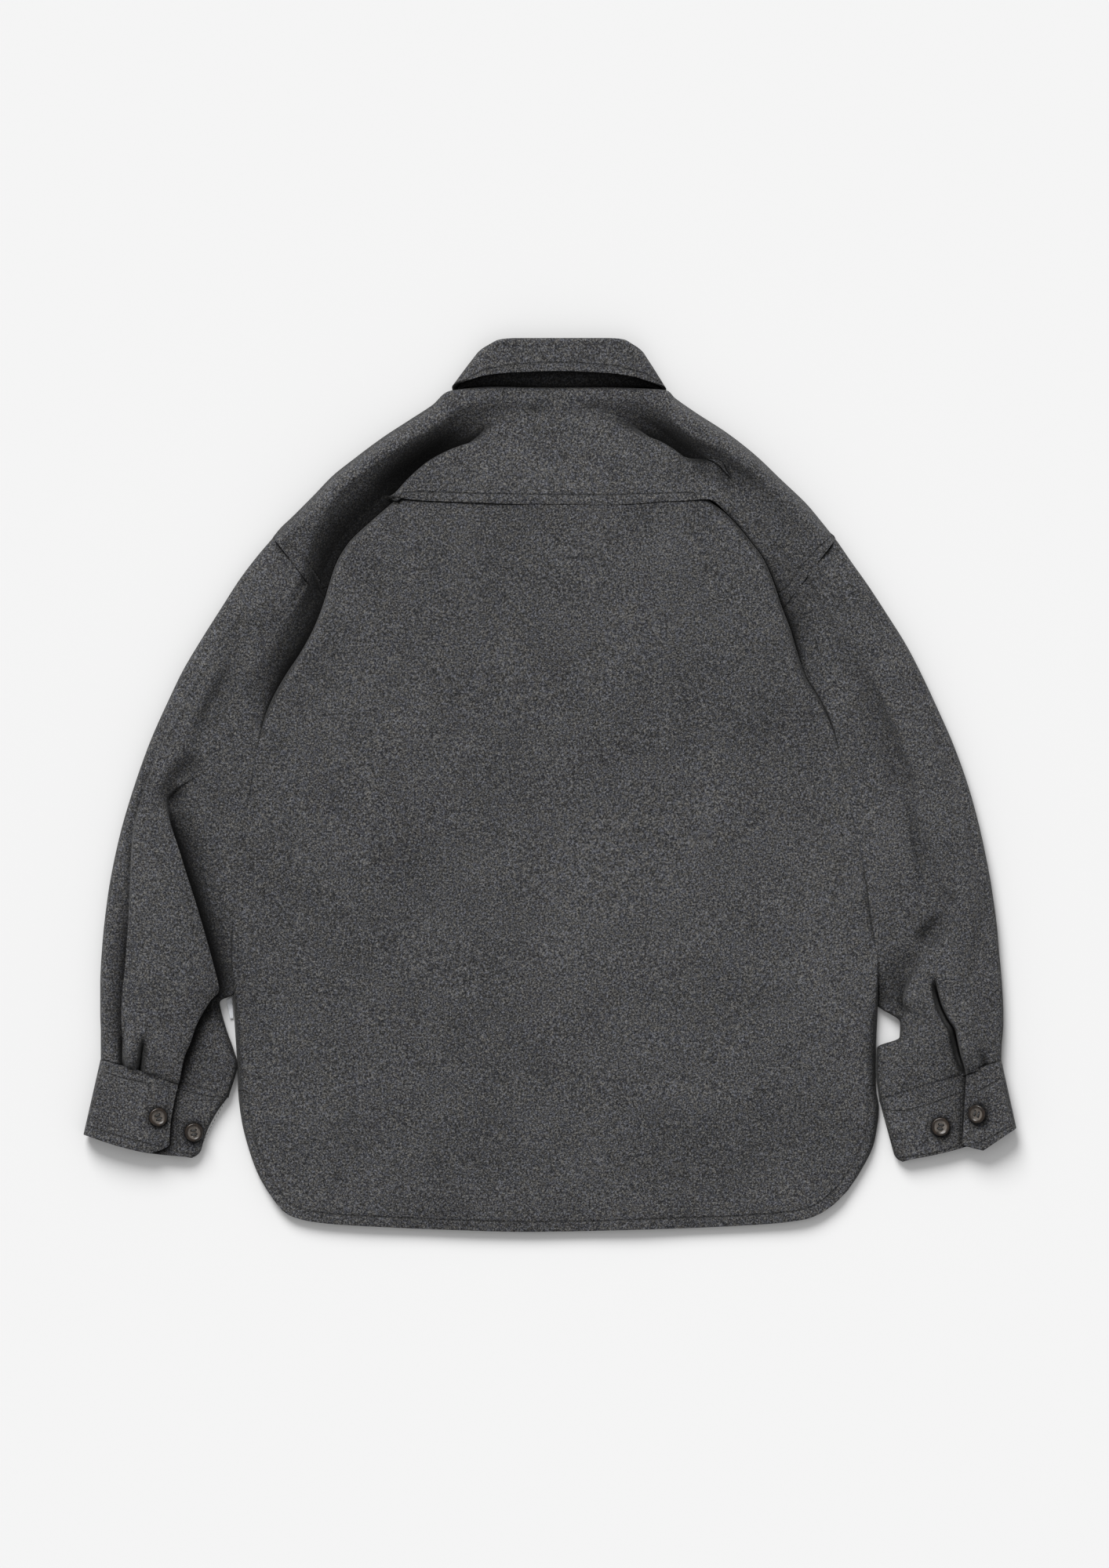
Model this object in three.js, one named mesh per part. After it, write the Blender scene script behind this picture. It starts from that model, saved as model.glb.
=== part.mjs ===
// A wool overshirt (a shacket) laid flat on its front, back side up, with its sleeves down beside it.
// Millimetres, +Z up. The floor is z = 0. +Y points from the hem to the collar.
// The garment's left is at -X, because its back faces up.
import * as THREE from "three";

// Cloth and sewing
const CLOTH = 2.4;
const SEAM_GAP = 0.4;
const REST_GAP = 0.3;
const STEEPEST_WALL = 2.2; // the most that a slope makes the wall deeper, in cloth thicknesses
const STEP_WIDTH = 3.2; // how far sideways a fold's edge drops

// Front closure
const FRONT_CENTRE_X = 7;
const PLACKET_HALF = 19;
const PLACKET_RAMP = 16;
const BUTTON_RADIUS = 8.5;
const BUTTON_THICK = 3;
const FRONT_BUTTON_TOP_Y = 262;
const FRONT_BUTTON_STEP = 92;
const FRONT_BUTTON_COUNT = 7;

// Collar
const LEAF_GAP = 2; // between the stand's top edge and the leaf's seam
const COLLAR_FRONT_LIFT = 2.7;

// The body's side line on the left: from the yoke seam along the bulging fold to the armpit,
// then the side seam.
// Column: x, y, height of the back beside the edge, width of the rounded edge.
const SIDE_LEFT = [
  [-142, 264, 19.5, 7],
  [-163, 246, 21, 8],
  [-188, 222, 22, 8],
  [-199, 203, 22, 8],
  [-205, 185, 22, 8],
  [-210, 168, 22, 8],
  [-218, 147, 21.5, 9],
  [-230, 124, 21, 9],
  [-245, 101, 20, 9],
  [-257, 80, 19, 10],
  [-266, 60, 18, 10],
  [-272, 36, 17, 11],
  [-278, 4, 16, 12],
  [-284, -36, 15, 13],
  [-290, -80, 14, 13],
  [-294, -125, 13, 13],
  [-295, -165, 12.5, 13],
  [-294, -192, 12, 13],
  [-292, -226, 12, 13],
  [-290, -258, 11.5, 13],
  [-289, -285, 11, 13],
  [-286, -310, 10.5, 13],
  [-279, -338, 10, 12],
  [-270, -362, 9, 11],
  [-262, -376, 8, 10],
];
// The same on the right.
const SIDE_RIGHT = [
  [145, 263, 18, 7],
  [165, 247, 18.5, 8],
  [184, 225, 19, 8],
  [197, 207, 19.5, 8],
  [206, 186, 19.5, 8],
  [214, 162, 19.5, 8],
  [221, 144, 19.5, 9],
  [227, 124, 19, 9],
  [235, 101, 18, 9],
  [249, 80, 17, 10],
  [259, 62, 16, 11],
  [266, 38, 15.5, 12],
  [271, 10, 15, 13],
  [280, -30, 14.5, 14],
  [290, -75, 14, 14],
  [297, -120, 13, 14],
  [302, -165, 12.5, 14],
  [302, -201, 12, 14],
  [301, -226, 12, 14],
  [300, -252, 11.5, 14],
  [300, -278, 11, 13],
  [303, -300, 10.5, 13],
  [299, -330, 10, 12],
  [286, -358, 9, 11],
  [274, -376, 8, 10],
];
const ARMHOLE_STATION = 5; // the side line's row where the armhole seam goes into the fold
const YOKE_SEAM = [
  [-142, 264],
  [-95, 261],
  [-24, 259],
  [52, 258],
  [83, 259],
  [116, 262],
  [145, 263],
];
const HEM = [
  [-262, -376],
  [-251, -391],
  [-241, -399],
  [-224, -404],
  [-199, -407],
  [-97, -412],
  [-22, -414],
  [42, -413],
  [161, -409],
  [207, -406],
  [232, -403],
  [245, -399],
  [258, -391],
  [274, -376],
];
// The back's height down its middle. Column: share of the way from the yoke seam to the hem, height.
const BACK_MIDDLE = [
  [0, 20],
  [0.15, 19.5],
  [0.45, 17.5],
  [0.8, 14.5],
  [1, 12.5],
];
// Soft troughs in the back. Column: from x, from y, to x, to y, depth, width.
const BACK_TROUGHS = [
  [-77, 170, -121, 129, 2, 20],
  [-121, 129, -142, 64, 2.2, 20],
  [-142, 64, -192, -67, 1.8, 24],
  [111, 175, 141, -24, 1.6, 24],
];

// The yoke, a row for each section from the left armhole round the neck to the right armhole.
// Column: outer x and y, inner x and y, then share of the way in and height at the shoulder's ridge,
// the valley, the bank, the fold's foot and its crest, then the heights at the outer and the inner edge.
// A row with no inner point of its own names the side line's row in place of it.
const YOKE_ROWS = [
  {
    outer: [-255, 228], left: 5, ridge: [0.3, 14.8], valley: [0.76, 7.8], bank: [0.82, 7.4],
    foot: [0.88, 7.1], crest: [0.94, 7], ends: [11, 7],
  },
  {
    outer: [-246, 236], left: 4, ridge: [0.28, 15], valley: [0.74, 7.2], bank: [0.8, 7],
    foot: [0.86, 6.8], crest: [0.93, 6.6], ends: [11, 6.6],
  },
  {
    outer: [-234, 246], left: 3, ridge: [0.25, 15], valley: [0.7, 6.8], bank: [0.78, 6.6],
    foot: [0.85, 6.4], crest: [0.93, 6.3], ends: [11, 6.3],
  },
  {
    outer: [-214, 265], left: 2, ridge: [0.2, 15], valley: [0.62, 6.4], bank: [0.72, 6.2],
    foot: [0.82, 6.1], crest: [0.92, 6], ends: [11, 6],
  },
  {
    outer: [-194, 285], left: 1, ridge: [0.2, 15], valley: [0.62, 6.4], bank: [0.72, 6.2],
    foot: [0.82, 6.1], crest: [0.92, 6], ends: [11, 6],
  },
  {
    outer: [-170, 305], left: 0, ridge: [0.2, 15], valley: [0.6, 6.6], bank: [0.7, 6.6],
    foot: [0.82, 7], crest: [0.93, 19], ends: [11, 19.5],
  },
  {
    outer: [-150, 320], inner: [-118, 262], ridge: [0.14, 15], valley: [0.37, 7.6], bank: [0.43, 7.6],
    foot: [0.51, 8.2], crest: [0.61, 19], ends: [11, 20],
  },
  {
    outer: [-128, 335], inner: [-92, 261], ridge: [0.12, 15], valley: [0.29, 9], bank: [0.34, 9],
    foot: [0.4, 9.6], crest: [0.5, 18.5], ends: [11, 20],
  },
  {
    outer: [-107, 349], inner: [-64, 260], ridge: [0.1, 14.5], valley: [0.23, 10.5], bank: [0.28, 10.5],
    foot: [0.34, 11], crest: [0.46, 18], ends: [11.5, 20],
  },
  {
    outer: [-93, 363.5], inner: [-38, 259], ridge: [0.1, 13.5], valley: [0.21, 11.5], bank: [0.26, 11.5],
    foot: [0.31, 12], crest: [0.44, 17.5], ends: [13, 20], neck: true,
  },
  {
    outer: [-50, 367], inner: [-12, 259], ridge: [0.08, 13], valley: [0.17, 12.5], bank: [0.2, 12.5],
    foot: [0.25, 12.8], crest: [0.4, 17], ends: [13, 20], neck: true,
  },
  {
    outer: [0, 366], inner: [16, 258.5], ridge: [0.08, 13], valley: [0.16, 12.6], bank: [0.2, 12.6],
    foot: [0.24, 12.8], crest: [0.38, 16.5], ends: [13, 20], neck: true,
  },
  {
    outer: [50, 366.5], inner: [46, 258], ridge: [0.08, 13], valley: [0.16, 12.5], bank: [0.2, 12.5],
    foot: [0.24, 12.7], crest: [0.37, 16.5], ends: [13, 20], neck: true,
  },
  {
    outer: [106, 364], inner: [76, 259], ridge: [0.1, 13.4], valley: [0.26, 12], bank: [0.29, 12],
    foot: [0.33, 12.3], crest: [0.44, 16.5], ends: [13, 20], neck: true,
  },
  {
    outer: [113, 356], inner: [102, 261], ridge: [0.14, 14.5], valley: [0.36, 11.2], bank: [0.4, 11.2],
    foot: [0.45, 12], crest: [0.56, 17], ends: [12, 20],
  },
  {
    outer: [131, 343], inner: [124, 262], ridge: [0.14, 15], valley: [0.4, 10.4], bank: [0.46, 10.8],
    foot: [0.52, 12], crest: [0.64, 17], ends: [11, 19.5],
  },
  {
    outer: [160, 323], right: 0, ridge: [0.16, 15], valley: [0.46, 10], bank: [0.58, 12],
    foot: [0.72, 13], crest: [0.88, 17.5], ends: [11, 18],
  },
  {
    outer: [188, 302], right: 1, ridge: [0.14, 15.5], valley: [0.36, 11.5], bank: [0.55, 14],
    foot: [0.84, 8.8], crest: [0.93, 8], ends: [11, 7.8],
  },
  {
    outer: [212, 282], right: 2, ridge: [0.2, 15.5], valley: [0.42, 13.5], bank: [0.55, 14],
    foot: [0.84, 8.4], crest: [0.93, 7.8], ends: [11, 7.6],
  },
  {
    outer: [235, 258], right: 3, ridge: [0.25, 15.5], valley: [0.45, 14.5], bank: [0.55, 13.8],
    foot: [0.84, 8.2], crest: [0.93, 7.6], ends: [11, 7.4],
  },
  {
    outer: [248, 243], right: 4, ridge: [0.25, 15.2], valley: [0.45, 14.5], bank: [0.55, 13.6],
    foot: [0.84, 8.2], crest: [0.93, 7.4], ends: [11, 7.2],
  },
  {
    outer: [263, 226], right: 5, ridge: [0.25, 14.8], valley: [0.45, 14.2], bank: [0.55, 13.4],
    foot: [0.84, 8.2], crest: [0.93, 7.4], ends: [11, 7],
  },
];

// The left sleeve, a row for each section from the armhole to the cuff seam.
// side is the side line's row that the section starts from. Below the armpit the row has an inner point.
// crease, pleat and fold are the three stepped folds' places, as shares of the way from the outer edge in.
// heights: outer edge, crease foot, crease top, pleat top, pleat foot, middle, fold top, fold foot, web,
// inner edge.
const LEFT_SLEEVE_ROWS = [
  {
    outer: [-255.6, 227.4], side: 5, crease: 0.14, pleat: 0.3, fold: 0.56,
    heights: [11, 13, 13.4, 14.8, 14.8, 14.4, 12.4, 12, 8.4, 7],
  },
  {
    outer: [-267, 211], side: 6, crease: 0.13, pleat: 0.27, fold: 0.44,
    heights: [11, 13, 13.4, 14.6, 14.6, 14.2, 12.5, 12, 9, 7.5],
  },
  {
    outer: [-283, 189], side: 7, crease: 0.12, pleat: 0.25, fold: 0.38,
    heights: [11, 13, 13.5, 14.6, 14.6, 14, 12, 11.6, 10, 8],
  },
  {
    outer: [-302, 160], side: 8, crease: 0.12, pleat: 0.24, fold: 0.36,
    heights: [11, 13, 13.5, 14.5, 14.5, 13.5, 12, 11.6, 11.5, 8.5],
  },
  {
    outer: [-322, 132], side: 9, crease: 0.12, pleat: 0.25, fold: 0.42,
    heights: [11, 14, 14.5, 16, 16, 14.5, 13, 12.6, 13, 9],
  },
  {
    outer: [-340, 105], side: 10, crease: 0.12, pleat: 0.25, fold: 0.5,
    heights: [12, 15, 15.5, 17, 17, 15.5, 13.6, 13.2, 14, 9],
  },
  {
    outer: [-354, 76], side: 11, crease: 0.12, pleat: 0.25, fold: 0.5,
    heights: [12, 15, 15.5, 17.5, 17.5, 16, 13.6, 13.2, 14.5, 9],
  },
  {
    outer: [-370, 40], side: 12, crease: 0.11, pleat: 0.25, fold: 0.53,
    heights: [12, 15, 15.5, 17.5, 17.5, 16, 13.6, 13, 14, 9],
  },
  {
    outer: [-387, -8], side: 13, crease: 0.1, pleat: 0.19, fold: 0.29,
    heights: [12, 14.5, 15, 17, 17, 16.5, 14.5, 12, 13, 8.5],
  },
  {
    outer: [-399, -50], side: 14, crease: 0.11, pleat: 0.3, fold: 0.49,
    heights: [11, 12.5, 15.5, 18, 18, 19, 18, 8.5, 8.5, 7],
  },
  {
    outer: [-409, -100], side: 15, crease: 0.17, pleat: 0.36, fold: 0.69,
    heights: [10, 11, 16, 18.5, 18.5, 19.5, 17.5, 7, 7, 6.2],
  },
  {
    outer: [-414, -142], side: 16, crease: 0.185, pleat: 0.36, fold: 0.81,
    heights: [10, 10.5, 16.5, 18.5, 18.5, 19, 16.5, 6.5, 6.4, 6],
  },
  {
    outer: [-416, -170], side: 17, crease: 0.18, pleat: 0.35, fold: 0.86,
    heights: [10, 10.5, 16.5, 18.5, 18.5, 18.5, 16, 6.4, 6.2, 6],
  },
  {
    outer: [-416.5, -186], inner: [-306, -202], crease: 0.19, pleat: 0.36, fold: 0.9,
    heights: [10, 10.5, 16.5, 18.5, 18.5, 18.2, 15.5, 9, 8.6, 8],
  },
  {
    outer: [-416.5, -212], inner: [-300, -226], crease: 0.17, pleat: 0.36, fold: 0.75,
    heights: [10.5, 11, 16.5, 18.5, 18, 18, 15.5, 10, 11, 9.5],
  },
  {
    outer: [-416, -228], inner: [-293, -246], crease: 0.163, pleat: 0.34, fold: 0.66,
    heights: [11.5, 12, 17, 18.8, 17, 17.8, 15.5, 10.3, 11.5, 10],
  },
  {
    outer: [-416, -241], inner: [-289.5, -260], crease: 0.16, pleat: 0.32, fold: 0.6,
    heights: [12.5, 13, 17.4, 18.8, 16.8, 17.5, 15.5, 10.4, 11.5, 10],
  },
  {
    outer: [-416, -254], inner: [-297, -287], crease: 0.168, pleat: 0.31, fold: 0.61,
    heights: [14.5, 15, 18, 18.8, 17, 17.5, 15.5, 10.8, 11.5, 10.5],
  },
];

// The right sleeve. slit is the cuff's slit, and lobe is the edge of the bulge below the elbow.
// heights: outer edge, pleat, ridge, slit top, slit foot, lobe, lobe top, lobe foot, web, inner edge.
const RIGHT_SLEEVE_ROWS = [
  {
    outer: [263.6, 225.4], side: 5, pleat: 0.14, slit: 0.34, lobe: 0.56,
    heights: [11, 13, 14.4, 14.8, 14.6, 13.8, 12.4, 12, 8.6, 7],
  },
  {
    outer: [275, 206], side: 6, pleat: 0.14, slit: 0.34, lobe: 0.55,
    heights: [11, 13, 14.4, 14.6, 14.5, 14, 12.5, 12, 9, 7.5],
  },
  {
    outer: [290, 185], side: 7, pleat: 0.14, slit: 0.34, lobe: 0.55,
    heights: [11, 13, 14.5, 14.6, 14.5, 14, 12.5, 12, 10, 8],
  },
  {
    outer: [310, 156], side: 8, pleat: 0.14, slit: 0.34, lobe: 0.56,
    heights: [11, 13.5, 15, 15, 15, 14.5, 13, 12.5, 11.5, 9],
  },
  {
    outer: [328, 128], side: 9, pleat: 0.14, slit: 0.34, lobe: 0.58,
    heights: [11.5, 14, 16, 16, 16, 15, 13.2, 12.8, 12.5, 9.5],
  },
  {
    outer: [343, 100], side: 10, pleat: 0.14, slit: 0.34, lobe: 0.6,
    heights: [12, 14.5, 16.5, 17, 16.8, 15.5, 12.8, 12.4, 13.2, 10],
  },
  {
    outer: [357, 70], side: 11, pleat: 0.14, slit: 0.34, lobe: 0.57,
    heights: [12, 15, 17, 17.5, 17.2, 16, 12.8, 12.4, 13.5, 10],
  },
  {
    outer: [372, 36], side: 12, pleat: 0.14, slit: 0.32, lobe: 0.52,
    heights: [12, 15, 17.5, 18, 17.8, 16, 12.8, 12.4, 13.5, 10],
  },
  {
    outer: [388, -10], side: 13, pleat: 0.14, slit: 0.32, lobe: 0.53,
    heights: [12, 15, 17.5, 18, 17.8, 16, 12.4, 12, 13.5, 10],
  },
  {
    outer: [400, -58], side: 14, pleat: 0.14, slit: 0.32, lobe: 0.555,
    heights: [12, 15, 17.5, 18, 17.8, 15.5, 12, 11.5, 13.5, 10],
  },
  {
    outer: [407, -95], side: 14.5, pleat: 0.13, slit: 0.27, lobe: 0.44,
    heights: [12, 15, 17.5, 18, 17.5, 15.5, 12, 10.5, 13.2, 10],
  },
  {
    outer: [409.5, -112], side: 14.85, pleat: 0.1, slit: 0.2, lobe: 0.32,
    heights: [12, 14.5, 17, 17.6, 17.6, 17.5, 17, 9.5, 12.5, 10],
  },
  {
    outer: [412, -131], side: 15.25, pleat: 0.13, slit: 0.27, lobe: 0.4,
    heights: [12, 14, 17, 17.8, 17.8, 17.5, 16.5, 8.8, 11.5, 9.5],
  },
  {
    outer: [414, -155], side: 15.8, pleat: 0.17, slit: 0.42, lobe: 0.6,
    heights: [12, 13.5, 17, 17.5, 17.2, 17, 15.5, 8, 9.5, 8],
  },
  {
    outer: [416, -176], side: 16.3, pleat: 0.19, slit: 0.53, lobe: 0.7,
    heights: [12, 13, 17, 17.5, 16, 16, 14.5, 7.2, 7.4, 6.6],
  },
  {
    outer: [417.5, -198], side: 17, pleat: 0.18, slit: 0.49, lobe: 0.78,
    heights: [12, 13, 17.5, 17.5, 13.5, 14, 12.5, 6.6, 6.2, 6],
  },
  {
    outer: [418, -212], inner: [322.5, -220], pleat: 0.21, slit: 0.555, lobe: 0.86,
    heights: [12, 13, 17.5, 17.2, 12, 13, 12, 11.6, 11.2, 11],
  },
  {
    outer: [418, -222], inner: [322, -234], pleat: 0.2, slit: 0.52, lobe: 0.84,
    heights: [12.5, 13.2, 17.5, 17, 11.5, 12.5, 12, 11.8, 11.4, 11],
  },
  {
    outer: [417.5, -230], inner: [301, -244], pleat: 0.15, slit: 0.4, lobe: 0.8,
    heights: [13, 13.8, 17.6, 16.8, 11.2, 12.2, 12, 12, 11.5, 11],
  },
  {
    outer: [416.5, -241], inner: [300, -264], pleat: 0.13, slit: 0.355, lobe: 0.8,
    heights: [13.5, 14.2, 17.8, 16.6, 11, 12, 12, 12, 11.5, 11],
  },
  {
    outer: [416, -255], inner: [303, -291], pleat: 0.115, slit: 0.3, lobe: 0.8,
    heights: [14.5, 15.5, 18, 16, 10.8, 12, 12, 12, 11.5, 11],
  },
];
const SLEEVE_EDGE = 9; // half the width over which a sleeve's rounded edge turns

// Cuffs: the corners of each band as it lies, and where its layers end across it.
// seamOuter and seamInner are the ends of the sleeve's seam, the other two those of the free edge.
const CUFF_LEFT = {
  seamOuter: [-416.2, -254.6],
  seamInner: [-297.2, -287.6],
  freeOuter: [-432, -324],
  freeInner: [-325, -346],
  bulge: 5,
  topEnd: [0.61, 0.74],
  underEnd: [0.4, 0.44],
};
const CUFF_RIGHT = {
  seamOuter: [416.2, -255.6],
  seamInner: [303.2, -291.6],
  freeOuter: [430, -318],
  freeInner: [319, -350],
  bulge: 4,
  topEnd: [0.3, 0.44],
  underEnd: [0.12, 0.14],
};
const CUFF_CLOTH = 2.8;
// The band's middle surface across it. Column: share of the way from the outer edge in, height.
const CUFF_UNDER_HEIGHT = 9.6;
const CUFF_TOP_HEIGHT = 17.6;
const CUFF_END_HEIGHT = 13.4;
const CUFF_EDGE = 8;
// Cuff buttons. Column: x, y, height of the cloth under the button, tilt about X, tilt about Y in degrees.
const CUFF_BUTTONS = [
  [-363, -308, 16.8, 0, 6],
  [-330, -322, 12.2, 3, 3],
  [360, -317, 12.4, -4, 0],
  [394, -305, 17.7, 2, -8],
];

// Collar sections from the middle of the back to the middle of the front, on one side.
// Column: neck x, y, z, fold x, y, z of the stand's middle surface, leaf length, fold radius, and the turn
// of its outer face. The other side mirrors them.
const COLLAR_MIDDLE_X = 7;
const COLLAR_SECTIONS = [
  [0, 368.5, 12.2, 0, 405.5, 15.5, 26, 3, 0],
  [48, 369, 12.2, 44, 405.5, 15.5, 26, 3, 0],
  [76, 370, 12.1, 62, 404, 15.2, 26, 3, 6],
  [90, 370.5, 11.4, 72, 400, 14.2, 27, 3, 26],
  [99, 368.5, 10, 77.5, 396, 12.2, 27, 2.7, 58],
  [103.5, 364.5, 7.6, 80, 391.5, 9.4, 27, 2.3, 90],
  [97.5, 361, 4.3, 76, 386, 4.4, 40, 1.6, 160],
  [80, 350, 4.2, 64, 376, 4.2, 52, 1.5, 178],
  [44, 328.5, 4.2, 36, 357, 4.2, 60, 1.5, 180],
];
const COLLAR_FRONT_SECTION = [0.8, 320, 4.2, 0.8, 351, 4.2, 0, 1.5, 180];

// Side label
const LABEL_THICK = 0.8;
const LABEL_LOW = 0.8;
// Its corners: the two at the top, then the two at the bottom, the free one first.
const LABEL_CORNERS = [
  [[-299.8, -200], [-294.6, -196.5]],
  [[-296.4, -217], [-293.4, -216.6]],
];

// Small mathematics

// The slopes of a curve through points that never overshoots them.
function slopes(xs, ys) {
  const n = xs.length;
  const secant = [];
  for (let i = 0; i < n - 1; i++) secant.push((ys[i + 1] - ys[i]) / (xs[i + 1] - xs[i]));
  const out = [secant[0]];
  for (let i = 1; i < n - 1; i++) {
    const product = secant[i - 1] * secant[i];
    out.push(product <= 0 ? 0 : (2 * product) / (secant[i - 1] + secant[i]));
  }
  out.push(secant[n - 2]);
  return out;
}

// The height of that curve at x, held level beyond its ends.
function smooth(xs, ys, x) {
  const n = xs.length;
  if (x <= xs[0]) return ys[0];
  if (x >= xs[n - 1]) return ys[n - 1];
  const m = slopes(xs, ys);
  let i = 0;
  while (x > xs[i + 1]) i++;
  const h = xs[i + 1] - xs[i];
  const t = (x - xs[i]) / h;
  const a = 2 * t ** 3 - 3 * t ** 2 + 1;
  const b = t ** 3 - 2 * t ** 2 + t;
  const c = -2 * t ** 3 + 3 * t ** 2;
  const d = t ** 3 - t ** 2;
  return a * ys[i] + b * h * m[i] + c * ys[i + 1] + d * h * m[i + 1];
}

const column = (rows, i) => rows.map((row) => row[i]);
const counting = (rows) => rows.map((_, i) => i);
const mix = (a, b, t) => a + (b - a) * t;
const mixPoint = (a, b, t) => a.map((v, i) => mix(v, b[i], t));
const ease = (t) => {
  const c = Math.min(1, Math.max(0, t));
  return c * c * (3 - 2 * c);
};

// A place on a table's curve, at a row number that may be a fraction.
function along(rows, at) {
  return rows[0].map((_, i) => smooth(counting(rows), column(rows, i), at));
}

// A place on a polyline at a share of its length.
function onLine(points, share) {
  const lengths = [0];
  for (let i = 1; i < points.length; i++) {
    const step = Math.hypot(points[i][0] - points[i - 1][0], points[i][1] - points[i - 1][1]);
    lengths.push(lengths[i - 1] + step);
  }
  const at = share * lengths[lengths.length - 1];
  return [smooth(lengths, column(points, 0), at), smooth(lengths, column(points, 1), at)];
}

// The distance from a place to a straight stretch.
function stretchDistance(x, y, x0, y0, x1, y1) {
  const dx = x1 - x0;
  const dy = y1 - y0;
  const t = Math.min(1, Math.max(0, ((x - x0) * dx + (y - y0) * dy) / (dx * dx + dy * dy)));
  return Math.hypot(x - x0 - t * dx, y - y0 - t * dy);
}

// Closed meshes

// One closed solid between two grids of points. wrap joins the last place across to the first.
function between(name, outside, inside, material, wrap = false) {
  const rows = outside.length;
  const across = outside[0].length;
  const places = [...outside.flat(), ...inside.flat()];
  const out = (i, j) => i * across + (j % across);
  const into = (i, j) => rows * across + out(i, j);
  const faces = [];
  const quad = (a, b, c, d) => faces.push([a, b, c], [a, c, d]);
  const columns = wrap ? across : across - 1;
  for (let i = 0; i < rows - 1; i++) {
    for (let j = 0; j < columns; j++) {
      quad(out(i, j), out(i, j + 1), out(i + 1, j + 1), out(i + 1, j));
      quad(into(i, j), into(i + 1, j), into(i + 1, j + 1), into(i, j + 1));
    }
  }
  for (let j = 0; j < columns; j++) {
    quad(out(0, j), into(0, j), into(0, j + 1), out(0, j + 1));
    quad(out(rows - 1, j), out(rows - 1, j + 1), into(rows - 1, j + 1), into(rows - 1, j));
  }
  if (!wrap) {
    for (let i = 0; i < rows - 1; i++) {
      quad(out(i, 0), out(i + 1, 0), into(i + 1, 0), into(i, 0));
      const last = across - 1;
      quad(out(i, last), into(i, last), into(i + 1, last), out(i + 1, last));
    }
  }
  let volume = 0;
  for (const [a, b, c] of faces) {
    const [p, q, r] = [places[a], places[b], places[c]];
    volume += p[0] * (q[1] * r[2] - q[2] * r[1]);
    volume -= p[1] * (q[0] * r[2] - q[2] * r[0]);
    volume += p[2] * (q[0] * r[1] - q[1] * r[0]);
  }
  const index = faces.flatMap(([a, b, c]) => (volume < 0 ? [a, c, b] : [a, b, c]));
  const geometry = new THREE.BufferGeometry();
  geometry.setAttribute("position", new THREE.Float32BufferAttribute(places.flat(), 3));
  geometry.setIndex(index);
  geometry.computeVertexNormals();
  const mesh = new THREE.Mesh(geometry, material);
  mesh.name = name;
  return mesh;
}

// The inner face under a grid of heights: straight below it, deeper where the cloth is steep.
function below(grid) {
  return grid.map((row, i) =>
    row.map((place, j) => {
      const slope = Math.max(
        steepness(place, row[j - 1]),
        steepness(place, row[j + 1]),
        steepness(place, grid[i - 1] && grid[i - 1][j]),
        steepness(place, grid[i + 1] && grid[i + 1][j]),
      );
      const depth = CLOTH * Math.min(STEEPEST_WALL, Math.hypot(1, 0.7 * slope));
      return [place[0], place[1], place[2] - depth];
    }),
  );
}

function steepness(a, b) {
  if (!b) return 0;
  return Math.abs(a[2] - b[2]) / Math.max(0.5, Math.hypot(a[0] - b[0], a[1] - b[1]));
}

// Fronts

// How far the front panels are lifted by what lies under them: the collar's points and the buttons.
function collarLift(x, y) {
  const sideways = Math.abs(x - COLLAR_MIDDLE_X);
  return COLLAR_FRONT_LIFT * ease((y - 262) / 14) * ease((128 - sideways) / 14);
}

function buttonLift(x, y) {
  const sideways = Math.abs(x - FRONT_CENTRE_X);
  const lowest = FRONT_BUTTON_TOP_Y - FRONT_BUTTON_STEP * (FRONT_BUTTON_COUNT - 1);
  const inRange = ease((FRONT_BUTTON_TOP_Y + 50 - y) / 14) * ease((y - lowest + 60) / 14);
  const lift = BUTTON_THICK + REST_GAP;
  return lift * inRange * ease((BUTTON_RADIUS + 5 + PLACKET_RAMP - sideways) / PLACKET_RAMP);
}

const leftFrontLow = (x, y) => Math.max(collarLift(x, y), buttonLift(x, y));

// The right front's edge lies on the left front's.
function rightFrontLow(x, y) {
  const free = collarLift(x, y);
  const stacked = leftFrontLow(x, y) + CLOTH + REST_GAP;
  const edge = FRONT_CENTRE_X + PLACKET_HALF + 1;
  const share = ease((edge + PLACKET_RAMP - x) / PLACKET_RAMP);
  return Math.max(mix(free, stacked, share), leftFrontLow(x, y) * share);
}

// The top of the front panels near their outer edges, where the yoke and the back come down on them.
const frontTop = (x, y) => collarLift(x, y) + CLOTH;

const SHOULDER_LEFT = [
  [-91.5, 358.5],
  [-107, 349],
  [-128, 335],
  [-150, 320],
  [-170, 305],
  [-194, 285],
  [-214, 265],
  [-234, 246],
  [-246, 236],
  [-255, 228],
];
const SHOULDER_RIGHT = [
  [104.5, 359.5],
  [113, 356],
  [131, 343],
  [160, 323],
  [188, 302],
  [212, 282],
  [235, 258],
  [248, 243],
  [256, 234],
  [263, 226],
];
const FRONT_SHARES = [0, 0.08, 0.22, 0.45, 0.72];
// Both fronts have points on the same lines where they overlap.
const STRIP = [-PLACKET_HALF, -BUTTON_RADIUS - 5, 0, BUTTON_RADIUS + 5, PLACKET_HALF];
const STRIP_LEFT_RAMP = [-31.5, -25];
const STRIP_RIGHT_RAMP = [28, 36];
const NECK_Y = 317;
const SHOULDER_END_Y = 235;
const ARMHOLE_MIDDLE_Y = 215;
const ARMHOLE_END_Y = 195;
const HEM_MIDDLE_Y = -413.6;

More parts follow.
